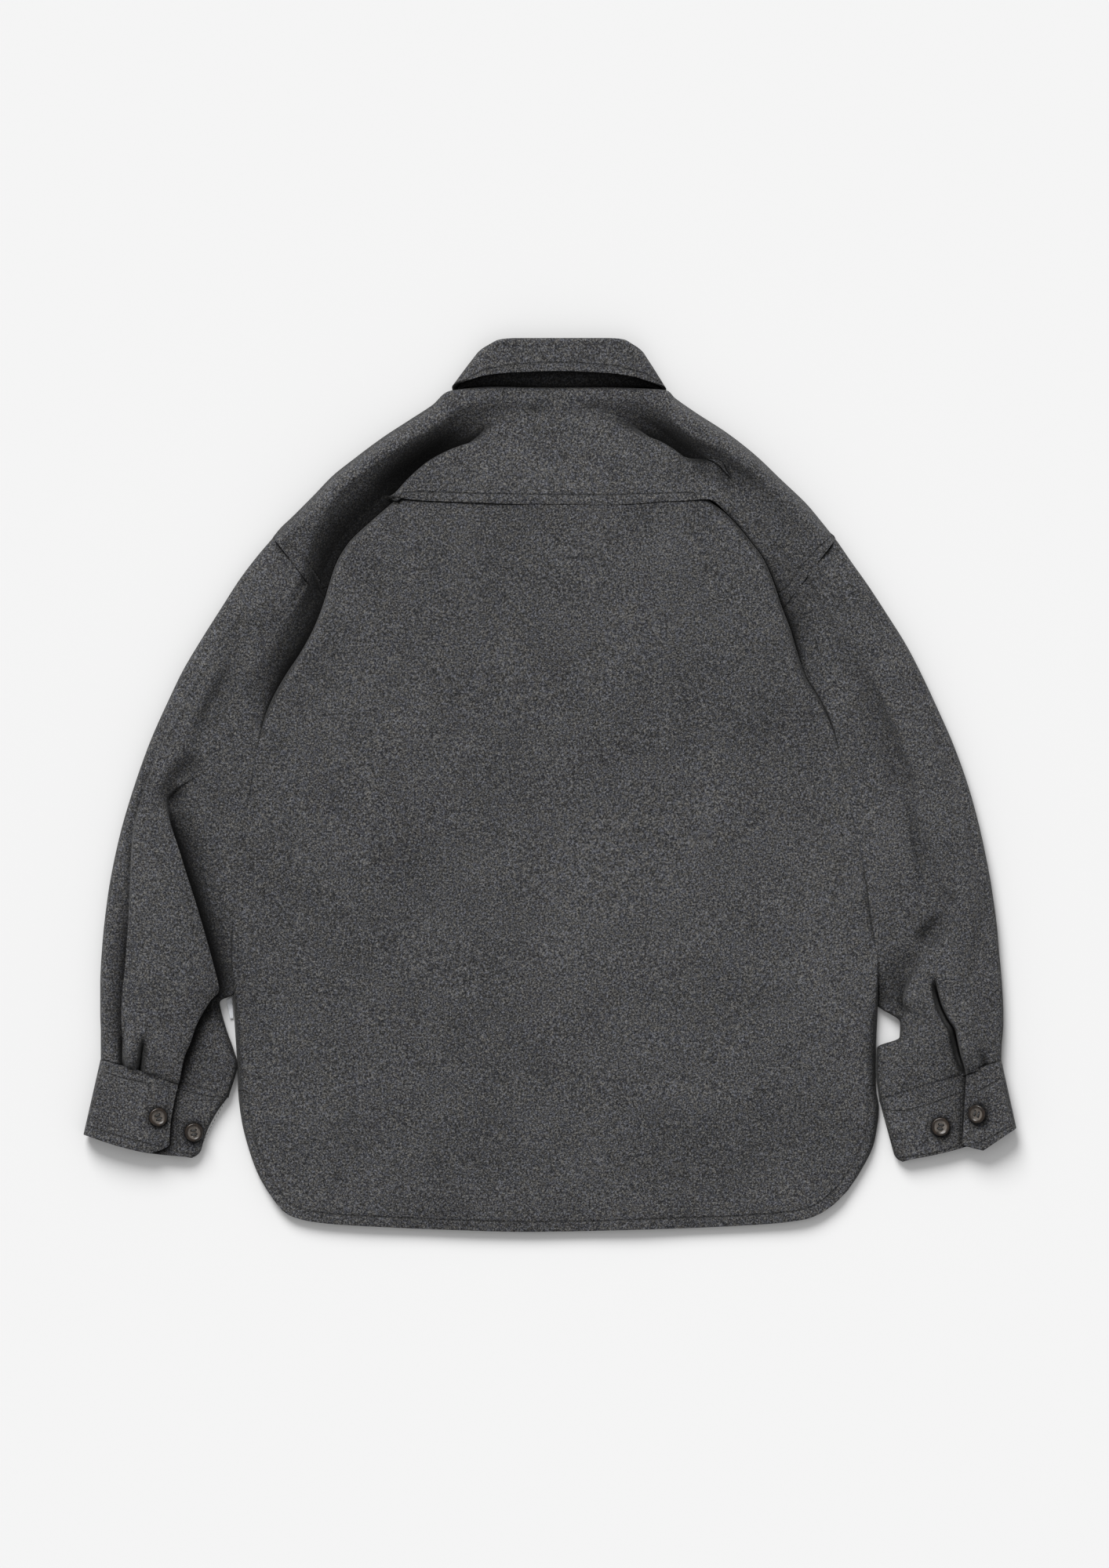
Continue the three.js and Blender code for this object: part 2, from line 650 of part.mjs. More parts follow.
// One front: rows from the neckline to the hem, each with its places in the order of growing x.
function frontPanel(name, side, shoulder, sideLine, low, material) {
  const ends = shoulder.map(([x, y], i) => [x, y, mix(NECK_Y, SHOULDER_END_Y, i / (shoulder.length - 1))]);
  const armholeEnd = sideLine[ARMHOLE_STATION];
  const corner = shoulder[shoulder.length - 1];
  const [bowX, bowY] = mixPoint(corner, armholeEnd, 0.5);
  ends.push([bowX + 2 * side, bowY + 2, ARMHOLE_MIDDLE_Y]);
  const rest = sideLine.slice(ARMHOLE_STATION);
  rest.forEach(([x, y], i) => {
    ends.push([x, y, mix(ARMHOLE_END_Y, HEM_MIDDLE_Y, i / (rest.length - 1))]);
  });
  const ramp = side < 0 ? STRIP_LEFT_RAMP : STRIP_RIGHT_RAMP;
  const strip = side < 0 ? [...ramp, ...STRIP] : [...STRIP, ...ramp];
  const rampEnd = FRONT_CENTRE_X + (side < 0 ? ramp[0] : ramp[1]);
  const bottom = [];
  const top = [];
  ends.forEach(([outerX, outerY, innerY], i) => {
    const isHem = i === ends.length - 1;
    const plan = strip.map((x) => [FRONT_CENTRE_X + x, innerY]);
    const panel = FRONT_SHARES.map((share) => mixPoint([outerX, outerY], [rampEnd, innerY], share));
    const row = side < 0 ? [...panel, ...plan] : [...plan, ...panel.reverse()];
    const placed = row.map(([x, y]) => [x, isHem ? hemAt(x) : y]);
    bottom.push(placed.map(([x, y]) => [x, y, low(x, y)]));
    top.push(placed.map(([x, y]) => [x, y, low(x, y) + CLOTH]));
  });
  return between(name, top, bottom, material);
}

// The hem's line at a place across.
function hemAt(x) {
  return smooth(column(HEM, 0), column(HEM, 1), x);
}

// Back

function troughDepth(x, y) {
  let depth = 0;
  for (const [x0, y0, x1, y1, deep, wide] of BACK_TROUGHS) {
    const off = stretchDistance(x, y, x0, y0, x1, y1) / wide;
    depth = Math.max(depth, deep * Math.exp(-off * off));
  }
  return depth;
}

// A place on the back's plan: u goes across, at is the side lines' row.
function backPlan(u, at) {
  const v = at / (SIDE_LEFT.length - 1);
  const left = along(SIDE_LEFT, at);
  const right = along(SIDE_RIGHT, at);
  const top = onLine(YOKE_SEAM, u);
  const bottom = onLine(HEM, u);
  const corner = (i) =>
    mix(mix(SIDE_LEFT[0][i], SIDE_RIGHT[0][i], u), mix(HEM[0][i], HEM[HEM.length - 1][i], u), v);
  return [0, 1].map((i) => mix(left[i], right[i], u) + mix(top[i], bottom[i], v) - corner(i));
}

const EDGE_TURNS = [90, 55, 25, 0];
const BACK_SHARES = [0.06, 0.16, 0.3, 0.42, 0.5, 0.58, 0.7, 0.84, 0.94];

function backPanel(material) {
  const outside = [];
  const inside = [];
  const last = SIDE_LEFT.length - 1;
  for (let at = 0; at <= last; at++) {
    const left = SIDE_LEFT[at];
    const right = SIDE_RIGHT[at];
    const width = right[0] - left[0];
    const v = at / last;
    const middle = smooth(column(BACK_MIDDLE, 0), column(BACK_MIDDLE, 1), v);
    const seam = at === 0 ? SEAM_GAP : 0;
    const outRow = [];
    const inRow = [];
    const edge = (side, sideRow, turn) => {
      const angle = (turn * Math.PI) / 180;
      const reach = sideRow[3];
      const low = CLOTH + REST_GAP;
      for (const [row, wide, deep] of [
        [outRow, reach, 0],
        [inRow, reach - CLOTH, CLOTH],
      ]) {
        const inset = reach - wide * Math.sin(angle);
        const [x, y] = backPlan(side < 0 ? inset / width : 1 - inset / width, at);
        const z = low + (sideRow[2] - deep - low) * Math.cos(angle);
        row.push([x, y - seam, z]);
      }
    };
    EDGE_TURNS.forEach((turn) => edge(-1, left, turn));
    for (const share of BACK_SHARES) {
      const u = mix(left[3] / width, 1 - right[3] / width, share);
      const [x, y] = backPlan(u, at);
      const ends = [0, 0.16, 0.5, 0.84, 1];
      const heights = [left[2], mix(left[2], middle, 0.8), middle, mix(right[2], middle, 0.8), right[2]];
      const z = smooth(ends, heights, share) - troughDepth(x, y) * ease(share * 6) * ease((1 - share) * 6);
      outRow.push([x, y - seam, z]);
      inRow.push([x, y - seam, z - CLOTH]);
    }
    [...EDGE_TURNS].reverse().forEach((turn) => edge(1, right, turn));
    outside.push(outRow);
    inside.push(inRow);
  }
  return between("back", outside, inside, material);
}

// Yoke

// How many steps lie between one named place across and the next.
const YOKE_STEPS = [1, 3, 1, 1, 2, 4];

function yokePanel(material) {
  const outside = [];
  const inside = [];
  for (const row of YOKE_ROWS) {
    const neck = Boolean(row.neck);
    let inner = row.inner;
    let apart = [0, SEAM_GAP];
    if (row.left !== undefined) inner = SIDE_LEFT[row.left];
    if (row.right !== undefined) inner = SIDE_RIGHT[row.right];
    if (row.left > 0) apart = [-SEAM_GAP, SEAM_GAP / 2];
    if (row.right > 0) apart = [SEAM_GAP, SEAM_GAP / 2];
    inner = [inner[0] + apart[0], inner[1] + apart[1] - (inner === row.inner ? SEAM_GAP : 0)];
    const length = Math.hypot(inner[0] - row.outer[0], inner[1] - row.outer[1]);
    const edgeShare = (neck ? 3 : 8) / length;
    const named = [row.ridge, row.valley, row.bank, row.foot, row.crest];
    const shares = [edgeShare, ...column(named, 0), 1];
    const heights = [row.ends[0], ...column(named, 1), row.ends[1]];
    const outRow = [];
    const inRow = [];
    const within = mixPoint(row.outer, inner, 2 * edgeShare);
    const rest = Math.max(frontTop(...row.outer), frontTop(...within)) + 2 * REST_GAP;
    const low = neck ? row.ends[0] - 0.4 : rest;
    for (const turn of [90, 55, 25]) {
      const angle = (turn * Math.PI) / 180;
      const outShare = edgeShare * (1 - Math.sin(angle));
      const inShare = edgeShare - (neck ? edgeShare : edgeShare - CLOTH / length) * Math.sin(angle);
      const outPlan = mixPoint(row.outer, inner, outShare);
      const inPlan = mixPoint(row.outer, inner, inShare);
      const drop = neck ? CLOTH : 0;
      outRow.push([...outPlan, low + (row.ends[0] - low) * Math.cos(angle)]);
      inRow.push([...inPlan, low - drop + (row.ends[0] - CLOTH - low + drop) * Math.cos(angle)]);
    }
    for (let k = 0; k < shares.length - 1; k++) {
      for (let step = 0; step < YOKE_STEPS[k]; step++) {
        const share = mix(shares[k], shares[k + 1], step / YOKE_STEPS[k]);
        outRow.push([...mixPoint(row.outer, inner, share), smooth(shares, heights, share)]);
      }
    }
    outRow.push([...inner, heights[6]]);
    outside.push(outRow);
    inside.push(inRow);
  }
  const lower = below(outside);
  const turned = inside[0].length;
  const complete = inside.map((row, i) => [...row, ...lower[i].slice(turned)]);
  return between("yoke", outside, complete, material);
}

// Sleeves

// One sleeve as a tube: each section is a loop that runs over the top from the outer edge in, and back
// along the floor.
function sleeve(name, sections, material) {
  const outside = [];
  const inside = [];
  const tops = sections.map((section) => {
    const [outer, inner] = [section.outer, section.inner];
    const length = Math.hypot(inner[0] - outer[0], inner[1] - outer[1]);
    const first = SLEEVE_EDGE / length;
    const shares = [first, ...section.shares, 1 - first * 0.6];
    return shares.map((share, i) => [...mixPoint(outer, inner, share), section.heights[i]]);
  });
  const lower = below(tops);
  sections.forEach((section, i) => {
    const top = tops[i];
    const low = lower[i].map(([x, y, z]) => [x, y, Math.max(z, CLOTH + 0.6)]);
    const last = top.length - 1;
    const loops = [
      [top, 0, outside],
      [low, CLOTH, inside],
    ];
    for (const [line, floor, target] of loops) {
      const loop = [...line];
      const turnEdge = (place, rim, turns) => {
        const reach = Math.hypot(rim[0] - place[0], rim[1] - place[1]);
        const kept = (reach - floor) / reach;
        for (const turn of turns) {
          const angle = (turn * Math.PI) / 180;
          const plan = mixPoint(place.slice(0, 2), rim, kept * Math.cos(angle));
          const half = (place[2] - floor) / 2;
          loop.push([...plan, floor + half + half * Math.sin(angle)]);
        }
      };
      turnEdge(line[last], section.inner, [45, 0, -45]);
      loop.push([line[last][0], line[last][1], floor]);
      loop.push([...mixPoint(line[last].slice(0, 2), line[0].slice(0, 2), 0.5), floor]);
      loop.push([line[0][0], line[0][1], floor]);
      turnEdge(line[0], section.outer, [-45, 0, 45]);
      target.push(loop);
    }
  });
  return between(name, outside, inside, material, true);
}

// Where a section that starts at the body's side line meets it, a seam's gap away.
function besideBody(sideLine, at, direction) {
  const [x, y] = along(sideLine, at);
  return [x + direction * 1.5 * SEAM_GAP, y - SEAM_GAP];
}

function leftSleeve(material) {
  const sections = LEFT_SLEEVE_ROWS.map((row) => {
    const inner = row.inner || besideBody(SIDE_LEFT, row.side, -1);
    const step = STEP_WIDTH / Math.hypot(inner[0] - row.outer[0], inner[1] - row.outer[1]) / 2;
    const shares = [
      row.crease - step,
      row.crease + step,
      row.pleat - step,
      row.pleat + step,
      mix(row.pleat, row.fold, 0.55),
      row.fold - step,
      Math.min(row.fold + step, 0.93),
      Math.min(mix(row.fold, 1, 0.45), 0.94),
    ];
    return { outer: row.outer, inner, shares, heights: row.heights };
  });
  return sleeve("sleeve_left", sections, material);
}

function rightSleeve(material) {
  const sections = RIGHT_SLEEVE_ROWS.map((row) => {
    const inner = row.inner || besideBody(SIDE_RIGHT, row.side, 1);
    const step = STEP_WIDTH / Math.hypot(inner[0] - row.outer[0], inner[1] - row.outer[1]) / 2;
    const shares = [
      row.pleat,
      mix(row.pleat, row.slit, 0.5),
      row.slit - step,
      row.slit + step,
      mix(row.slit, row.lobe, 0.5),
      row.lobe - step,
      row.lobe + step,
      mix(row.lobe, 1, 0.45),
    ];
    return { outer: row.outer, inner, shares, heights: row.heights };
  });
  return sleeve("sleeve_right", sections, material);
}

// Cuffs

// The band runs from its hidden end under the top layer, round the inner edge, along the floor, round the
// outer edge and over the top to its buttoned end. Each place is the share of the way across and the height
// of its middle surface.
function cuffPath(length, topEnd, underEnd) {
  const half = CUFF_CLOTH / 2;
  const path = [];
  const edge = CUFF_EDGE / length;
  for (const t of [0, 0.5, 1]) {
    path.push([mix(underEnd, 1 - edge, t), CUFF_UNDER_HEIGHT + 0.6 * Math.sin(Math.PI * t)]);
  }
  const turn = (centre, reach, low, high, angles) => {
    for (const degrees of angles) {
      const angle = (degrees * Math.PI) / 180;
      path.push([centre + reach * Math.cos(angle), mix(low, high, (1 + Math.sin(angle)) / 2)]);
    }
  };
  turn(1 - edge, edge - half / length, half, CUFF_UNDER_HEIGHT, [60, 30, 0, -30, -60, -90]);
  path.push([0.5, half]);
  turn(edge, -edge + half / length, half, CUFF_TOP_HEIGHT - 0.8, [-90, -60, -30, 0, 30, 60, 90]);
  for (const t of [0.35, 0.7]) {
    path.push([mix(edge, topEnd, t), mix(CUFF_TOP_HEIGHT, CUFF_END_HEIGHT, t * t)]);
  }
  path.push([topEnd, CUFF_END_HEIGHT]);
  return path;
}

function cuff(name, shape, material) {
  const outside = [];
  const inside = [];
  for (const down of [0, 0.35, 0.7, 0.92, 1]) {
    const outer = mixPoint(shape.seamOuter, shape.freeOuter, down);
    const inner = mixPoint(shape.seamInner, shape.freeInner, down);
    const length = Math.hypot(inner[0] - outer[0], inner[1] - outer[1]);
    const path = cuffPath(length, mix(...shape.topEnd, down), mix(...shape.underEnd, down));
    const flat = path.map(([share, z]) => [share * length, z]);
    const outRow = [];
    const inRow = [];
    flat.forEach(([a, z], i) => {
      const before = flat[Math.max(0, i - 1)];
      const after = flat[Math.min(flat.length - 1, i + 1)];
      const run = Math.hypot(after[0] - before[0], after[1] - before[1]);
      const normal = [(after[1] - before[1]) / run, -(after[0] - before[0]) / run];
      for (const [row, way] of [
        [outRow, CUFF_CLOTH / 2],
        [inRow, -CUFF_CLOTH / 2],
      ]) {
        const share = (a - way * normal[0]) / length;
        const [x, y] = mixPoint(outer, inner, share);
        const sag = shape.bulge * down * Math.sin(Math.PI * Math.min(1, Math.max(0, share)));
        row.push([x, y - sag, z - way * normal[1]]);
      }
    });
    outside.push(outRow);
    inside.push(inRow);
  }
  return between(name, outside, inside, material);
}

// Collar

// The sections of the whole collar, from the left front round the back to the right front.
function collarSections(withFront) {
  const half = withFront ? [...COLLAR_SECTIONS, COLLAR_FRONT_SECTION] : COLLAR_SECTIONS;
  const place = (row, side) => {
    const [nx, ny, nz, fx, fy, fz, leaf, radius, turn] = row;
    const neck = new THREE.Vector3(COLLAR_MIDDLE_X + side * nx, ny, nz);
    const fold = new THREE.Vector3(COLLAR_MIDDLE_X + side * fx, fy, fz);
    const up = fold.clone().sub(neck).normalize();
    const angle = (turn * Math.PI) / 180;
    const out = new THREE.Vector3(side * Math.sin(angle), 0, Math.cos(angle));
    out.addScaledVector(up, -out.dot(up)).normalize();
    return { neck, fold, up, out, leaf, radius };
  };
  const left = half.map((row) => place(row, -1)).reverse();
  const right = half.slice(1).map((row) => place(row, 1));
  return [...left, ...right];
}

// A band between its two faces, from rows of middle places and the directions across the cloth.
function band(name, rows, thick, material) {
  const face = (way) =>
    rows.map((row) => row.map(([p, n]) => p.clone().addScaledVector(n, (way * thick) / 2).toArray()));
  return between(name, face(1), face(-1), material);
}

function collarStand(material) {
  const rows = collarSections(true).map((section) =>
    [0, 0.5, 1].map((share) => {
      const p = section.neck.clone().lerp(section.fold, share);
      return [p, section.out];
    }),
  );
  return band("collar_stand", rows, CLOTH, material);
}

function collarLeaf(material) {
  const rows = collarSections(false).map((section) => {
    const row = [];
    const start = section.fold.clone().addScaledVector(section.up, LEAF_GAP);
    const centre = start.clone().addScaledVector(section.out, section.radius);
    for (const turn of [-90, -50, -10, 30, 65, 90]) {
      const angle = (turn * Math.PI) / 180;
      const direction = section.up
        .clone()
        .multiplyScalar(Math.cos(angle))
        .addScaledVector(section.out, Math.sin(angle));
      row.push([centre.clone().addScaledVector(direction, section.radius), direction]);
    }
    const fold = centre.clone().addScaledVector(section.out, section.radius);
    for (const share of [0.35, 0.7, 1]) {
      row.push([fold.clone().addScaledVector(section.up, -share * section.leaf), section.out]);
    }
    return row;
  });
  return band("collar_leaf", rows, CLOTH, material);
}

// Buttons and label

// A button is a thick disc with a raised rim round a shallow dish. It stands on its back, at z = 0.
function button(name, material) {
  const r = BUTTON_RADIUS;
  const t = BUTTON_THICK;
  const profile = [
    [0, 0],
    [r - 1.2, 0],
    [r, 0.9],
    [r, t - 0.7],
    [r - 0.9, t],
    [r - 2, t],
    [r - 3.1, t - 1],
    [0, t - 1.1],
  ];
  const geometry = new THREE.LatheGeometry(
    profile.map(([x, y]) => new THREE.Vector2(x, y)),
    20,
  );
  geometry.rotateX(Math.PI / 2);
  const mesh = new THREE.Mesh(geometry, material);
  mesh.name = name;
  return mesh;
}

function sideLabel(material) {
  const grid = (z) => LABEL_CORNERS.map((row) => row.map(([x, y]) => [x, y, z]));
  return between("side_label", grid(LABEL_LOW + LABEL_THICK), grid(LABEL_LOW), material);
}

// Materials
const wool = new THREE.MeshStandardMaterial({ color: 0x4c4c4e, roughness: 0.95, metalness: 0 });
const horn = new THREE.MeshStandardMaterial({ color: 0x35251c, roughness: 0.3, metalness: 0 });
const tape = new THREE.MeshStandardMaterial({ color: 0xe6e8ea, roughness: 0.8, metalness: 0 });

const shacket = new THREE.Group();
shacket.add(frontPanel("front_left", -1, SHOULDER_LEFT, SIDE_LEFT, leftFrontLow, wool));
shacket.add(frontPanel("front_right", 1, SHOULDER_RIGHT, SIDE_RIGHT, rightFrontLow, wool));
shacket.add(backPanel(wool));
shacket.add(yokePanel(wool));
shacket.add(leftSleeve(wool));
shacket.add(rightSleeve(wool));
shacket.add(cuff("cuff_left", CUFF_LEFT, wool));
shacket.add(cuff("cuff_right", CUFF_RIGHT, wool));
shacket.add(collarStand(wool));
shacket.add(collarLeaf(wool));
shacket.add(sideLabel(tape));

CUFF_BUTTONS.forEach(([x, y, z, tiltX, tiltY], i) => {
  const mesh = button("cuff_button_" + (i + 1), horn);
  mesh.position.set(x, y, z);
  mesh.rotation.set((tiltX * Math.PI) / 180, (tiltY * Math.PI) / 180, 0);
  shacket.add(mesh);
});
// The front's buttons face the floor.
for (let i = 0; i < FRONT_BUTTON_COUNT; i++) {
  const mesh = button("front_button_" + (i + 1), horn);
  mesh.position.set(FRONT_CENTRE_X, FRONT_BUTTON_TOP_Y - i * FRONT_BUTTON_STEP, BUTTON_THICK);
  mesh.rotation.set(Math.PI, 0, 0);
  shacket.add(mesh);
}

export default shacket;
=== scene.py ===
# %% [markdown]
# # A wool overshirt, laid flat with its back up
#
# The garment is charcoal wool melton, a thick felted cloth. It lies face down, so the yoke, the back, both
# sleeves and the outside of the cuffs show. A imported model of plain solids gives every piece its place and
# size. This script dresses that model: each piece of cloth becomes a thin rounded shell with its folds, and
# the buttons, the stitches and the label get their own small shapes.
#
# Sizes are in millimetres in the tables and in metres in Blender.

# %% Load the plain model
import math

import bmesh
import bpy
import numpy as np
from mathutils import Euler, Matrix, Vector
from mathutils.bvhtree import BVHTree


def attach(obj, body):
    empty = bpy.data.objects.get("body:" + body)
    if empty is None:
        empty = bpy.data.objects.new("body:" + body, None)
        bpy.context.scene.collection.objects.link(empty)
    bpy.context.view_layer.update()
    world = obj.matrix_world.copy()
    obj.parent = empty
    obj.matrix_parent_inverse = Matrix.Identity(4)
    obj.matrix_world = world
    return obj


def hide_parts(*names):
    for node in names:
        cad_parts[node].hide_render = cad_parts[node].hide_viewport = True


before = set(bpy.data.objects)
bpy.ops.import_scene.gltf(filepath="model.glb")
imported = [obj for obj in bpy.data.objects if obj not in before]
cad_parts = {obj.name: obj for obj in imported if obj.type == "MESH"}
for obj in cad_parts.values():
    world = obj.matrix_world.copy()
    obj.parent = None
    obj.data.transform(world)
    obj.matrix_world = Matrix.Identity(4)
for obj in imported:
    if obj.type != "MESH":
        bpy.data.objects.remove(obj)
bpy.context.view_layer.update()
MM = 0.001
BODY = "root"

# %% [markdown]
# ## The camera
#
# The photograph looks straight down. A camera without perspective does the same for every part of a flat
# garment. Its picture is 1414 by 2000 pixels at 1.38 pixels a millimetre, so its long side is 1449 mm.

# %% The camera
PIXELS_A_MM = 1.38
PICTURE_WIDTH = 1414
PICTURE_HEIGHT = 2000
FRAME_ORIGIN_PX = (702.5, 1000)
CAMERA_HEIGHT = 2.0

camera_data = bpy.data.cameras.new("camera")
camera_data.type = "ORTHO"
camera_data.ortho_scale = PICTURE_HEIGHT / PIXELS_A_MM * MM
camera = bpy.data.objects.new("camera", camera_data)
camera.location = (
    (PICTURE_WIDTH / 2 - FRAME_ORIGIN_PX[0]) / PIXELS_A_MM * MM,
    (FRAME_ORIGIN_PX[1] - PICTURE_HEIGHT / 2) / PIXELS_A_MM * MM,
    CAMERA_HEIGHT,
)
bpy.context.collection.objects.link(camera)
bpy.context.scene.camera = camera

# %% [markdown]
# ## Node trees from Python expressions
#
# A material is a graph of nodes. Written out by hand it is long, so two small classes keep it short. `Value`
# wraps a socket and lets Python's own operators add Math nodes. `Graph.node` makes any other node from its
# type, its settings and what goes into its sockets.


# %% Helpers for node trees
class Value:
    """A number on a socket. Its operators add Math nodes."""

    def __init__(self, graph, socket):
        self.graph = graph
        self.socket = socket

    def maths(self, operation, *others):
        return self.graph.node("ShaderNodeMath", {"operation": operation}, dict(enumerate((self, *others))))

    def __add__(self, other):
        return self.maths("ADD", other)

    def __sub__(self, other):
        return self.maths("SUBTRACT", other)

    def __mul__(self, other):
        return self.maths("MULTIPLY", other)

    def __rsub__(self, other):
        return self.graph.node("ShaderNodeMath", {"operation": "SUBTRACT"}, {0: other, 1: self})


class Graph:
    """A material's node tree with one Principled shader."""

    def __init__(self, name, **constants):
        self.material = bpy.data.materials.new(name)
        self.material.use_nodes = True
        self.nodes = self.material.node_tree.nodes
        self.links = self.material.node_tree.links
        self.shader = self.nodes["Principled BSDF"]
        for socket, value in constants.items():
            self.shader.inputs[socket.replace("_", " ")].default_value = value

    def node(self, kind, settings=None, inputs=None, output=0):
        made = self.nodes.new(kind)
        for key, value in (settings or {}).items():
            if key == "stops":
                self.set_stops(made.color_ramp, value)
            else:
                setattr(made, key, value)
        for key, value in (inputs or {}).items():
            if isinstance(value, Value):
                self.links.new(value.socket, made.inputs[key])
            else:
                made.inputs[key].default_value = value
        return Value(self, made.outputs[output])

    def set_stops(self, ramp, stops):
        while len(ramp.elements) > 1:
            ramp.elements.remove(ramp.elements[-1])
        for i, (position, colour) in enumerate(stops):
            element = ramp.elements[0] if i == 0 else ramp.elements.new(position)
            element.position = position
            element.color = (*colour, 1)

    def feed(self, socket, value):
        self.links.new(value.socket, self.shader.inputs[socket])

    def noise(self, place, scale, detail=2.0, roughness=0.5):
        inputs = {"Vector": place, "Scale": scale, "Detail": detail, "Roughness": roughness}
        return self.node("ShaderNodeTexNoise", None, inputs)

    def ramp(self, stops, value):
        return self.node("ShaderNodeValToRGB", {"stops": stops}, {"Fac": value})

    def bump(self, height, strength=1.0, distance=1.0):
        inputs = {"Strength": strength, "Distance": distance, "Height": height}
        self.feed("Normal", self.node("ShaderNodeBump", None, inputs))


# %% [markdown]
# ## Melton wool
#
# Melton is woven from dyed fibres of several greys and then felted until the weave disappears. Close up it
# is a salt-and-pepper speckle about a millimetre across, with short fibres in every direction. Three things
# make it: stretched noises for the fibres, a colour ramp from near black to light grey, and a little sheen,
# because the raised nap catches light at the edges of a fold. A slow noise lets the tone drift over the
# garment as the nap does.
#
# The colour is also darkened by the ambient occlusion, which paints shade into every fold and hollow.
# Beside a row of stitches the cloth sinks into a groove, and there its colour is darkened as painted shade.
# The groove follows an attribute on the mesh, which holds each point's distance from the stitched line.

# %% The wool
FIBRE_TONES = [
    (0.28, (0.012, 0.012, 0.0125)),
    (0.42, (0.036, 0.036, 0.038)),
    (0.55, (0.078, 0.078, 0.080)),
    (0.75, (0.205, 0.204, 0.205)),
]
FLECK_TINTS = [(0.38, (0.93, 0.96, 1.07)), (0.5, (1.0, 1.0, 1.0)), (0.64, (1.05, 1.01, 0.93))]
# Reach and strength of the painted shade that the ambient occlusion puts into folds and hollows.
PAINTED_SHADE_REACH = 0.030
PAINTED_SHADE_POWER = 4.4
GROOVE_HALF = 0.9
GROOVE_DEPTH = 0.0009
GRAIN_DEPTH = 0.0005
GRAIN_CONTRAST = 2.9
# GROOVE_SHADE is painted shade: it darkens the colour in a stitch groove.
GROOVE_SHADE = 0.35
SPECKLE_SCALE = 600
FLECK_SCALE = 330
# Column: noise scale, detail and strength of each slow change of tone.
DRIFTS = [(22, 2.0, 0.10), (5.0, 1.0, 0.08)]
# Column: turn of the fibres, then their noise scale along and across them.
FIBRE_DIRECTIONS = [(0.5, 420, 1250), (-0.9, 520, 1400), (1.9, 600, 1500)]


def make_wool(name, lightness):
    wool = Graph(name, Roughness=0.95, Sheen_Weight=0.12, Sheen_Roughness=0.5, Specular_IOR_Level=0.15)
    place = wool.node("ShaderNodeTexCoord", output="Object")
    fibres = []
    for turn, length, width in FIBRE_DIRECTIONS:
        turned = wool.node("ShaderNodeMapping", None, {"Vector": place, "Rotation": (0.3, 0.2, turn)})
        stretched = wool.node("ShaderNodeMapping", None, {"Vector": turned, "Scale": (length, width, width)})
        fibres.append(wool.noise(stretched, 1.0, 2.0, 0.6))
    speckle = wool.noise(place, SPECKLE_SCALE, 3.0, 0.7)
    fibre = (fibres[0] + fibres[1] + fibres[2]) * (1 / 3)
    grain = fibre * 0.55 + speckle * 0.45
    grain = (grain - 0.5) * GRAIN_CONTRAST + 0.5
    slow, slower = ((wool.noise(place, scale, detail) - 0.5) * depth for scale, detail, depth in DRIFTS)
    tone = wool.ramp(FIBRE_TONES, grain + (slow + slower))
    tint = wool.ramp(FLECK_TINTS, wool.noise(place, FLECK_SCALE, 2.0, 0.6))
    # Painted shade: the ambient occlusion darkens the base colour in folds and hollows.
    open_sky = wool.node("ShaderNodeAmbientOcclusion", {"samples": 8}, {"Distance": PAINTED_SHADE_REACH}, output=1)
    seam = wool.node("ShaderNodeAttribute", {"attribute_name": "seam"}, output=2)
    across = seam * (1 / GROOVE_HALF)
    groove = (across * across * -1).maths("EXPONENT")
    # Painted shade: the fold shade from the ambient occlusion times the groove shade, times the wool's
    # lightness, darkens the colour.
    shade = open_sky.maths("POWER", PAINTED_SHADE_POWER) * (1 - groove * GROOVE_SHADE) * lightness
    grey = wool.node("ShaderNodeCombineColor", None, {0: shade, 1: shade, 2: shade})
    colour = tone
    for factor in (tint, grey):
        colour = wool.node(
            "ShaderNodeMix",
            {"data_type": "RGBA", "blend_type": "MULTIPLY"},
            {"Factor": 1.0, 6: colour, 7: factor},
            output=2,
        )
    wool.feed("Base Color", colour)
    wool.bump(grain * GRAIN_DEPTH - groove * GROOVE_DEPTH)
    return wool.material


WOOL = make_wool("melton_wool", 0.87)

# %% [markdown]
# ## Smooth surfaces from short tables
#
# A tailor's pattern is a few measured points joined by smooth lines. Each piece here starts the same way: a
# small grid of points from a table. `monotone` joins them with curves that never swing past a point, so a
# crisp fold stays crisp. `refine` does it in both directions of a grid.


# %% Curves and grids
def monotone(values, at):
    """Reads rows of values at row numbers that may be fractions."""
    values = np.asarray(values, float)
    step = np.diff(values, axis=0)
    product = step[:-1] * step[1:]
    total = np.where(product > 0, step[:-1] + step[1:], 1)
    middle = np.where(product > 0, 2 * product / total, 0)
    slope = np.concatenate([step[:1], middle, step[-1:]])
    first = np.clip(np.floor(at).astype(int), 0, len(values) - 2)
    t = (at - first).reshape((-1,) + (1,) * (values.ndim - 1))
    low = values[first] * (2 * t**3 - 3 * t**2 + 1) + slope[first] * (t**3 - 2 * t**2 + t)
    high = values[first + 1] * (3 * t**2 - 2 * t**3) + slope[first + 1] * (t**3 - t**2)
    return low + high


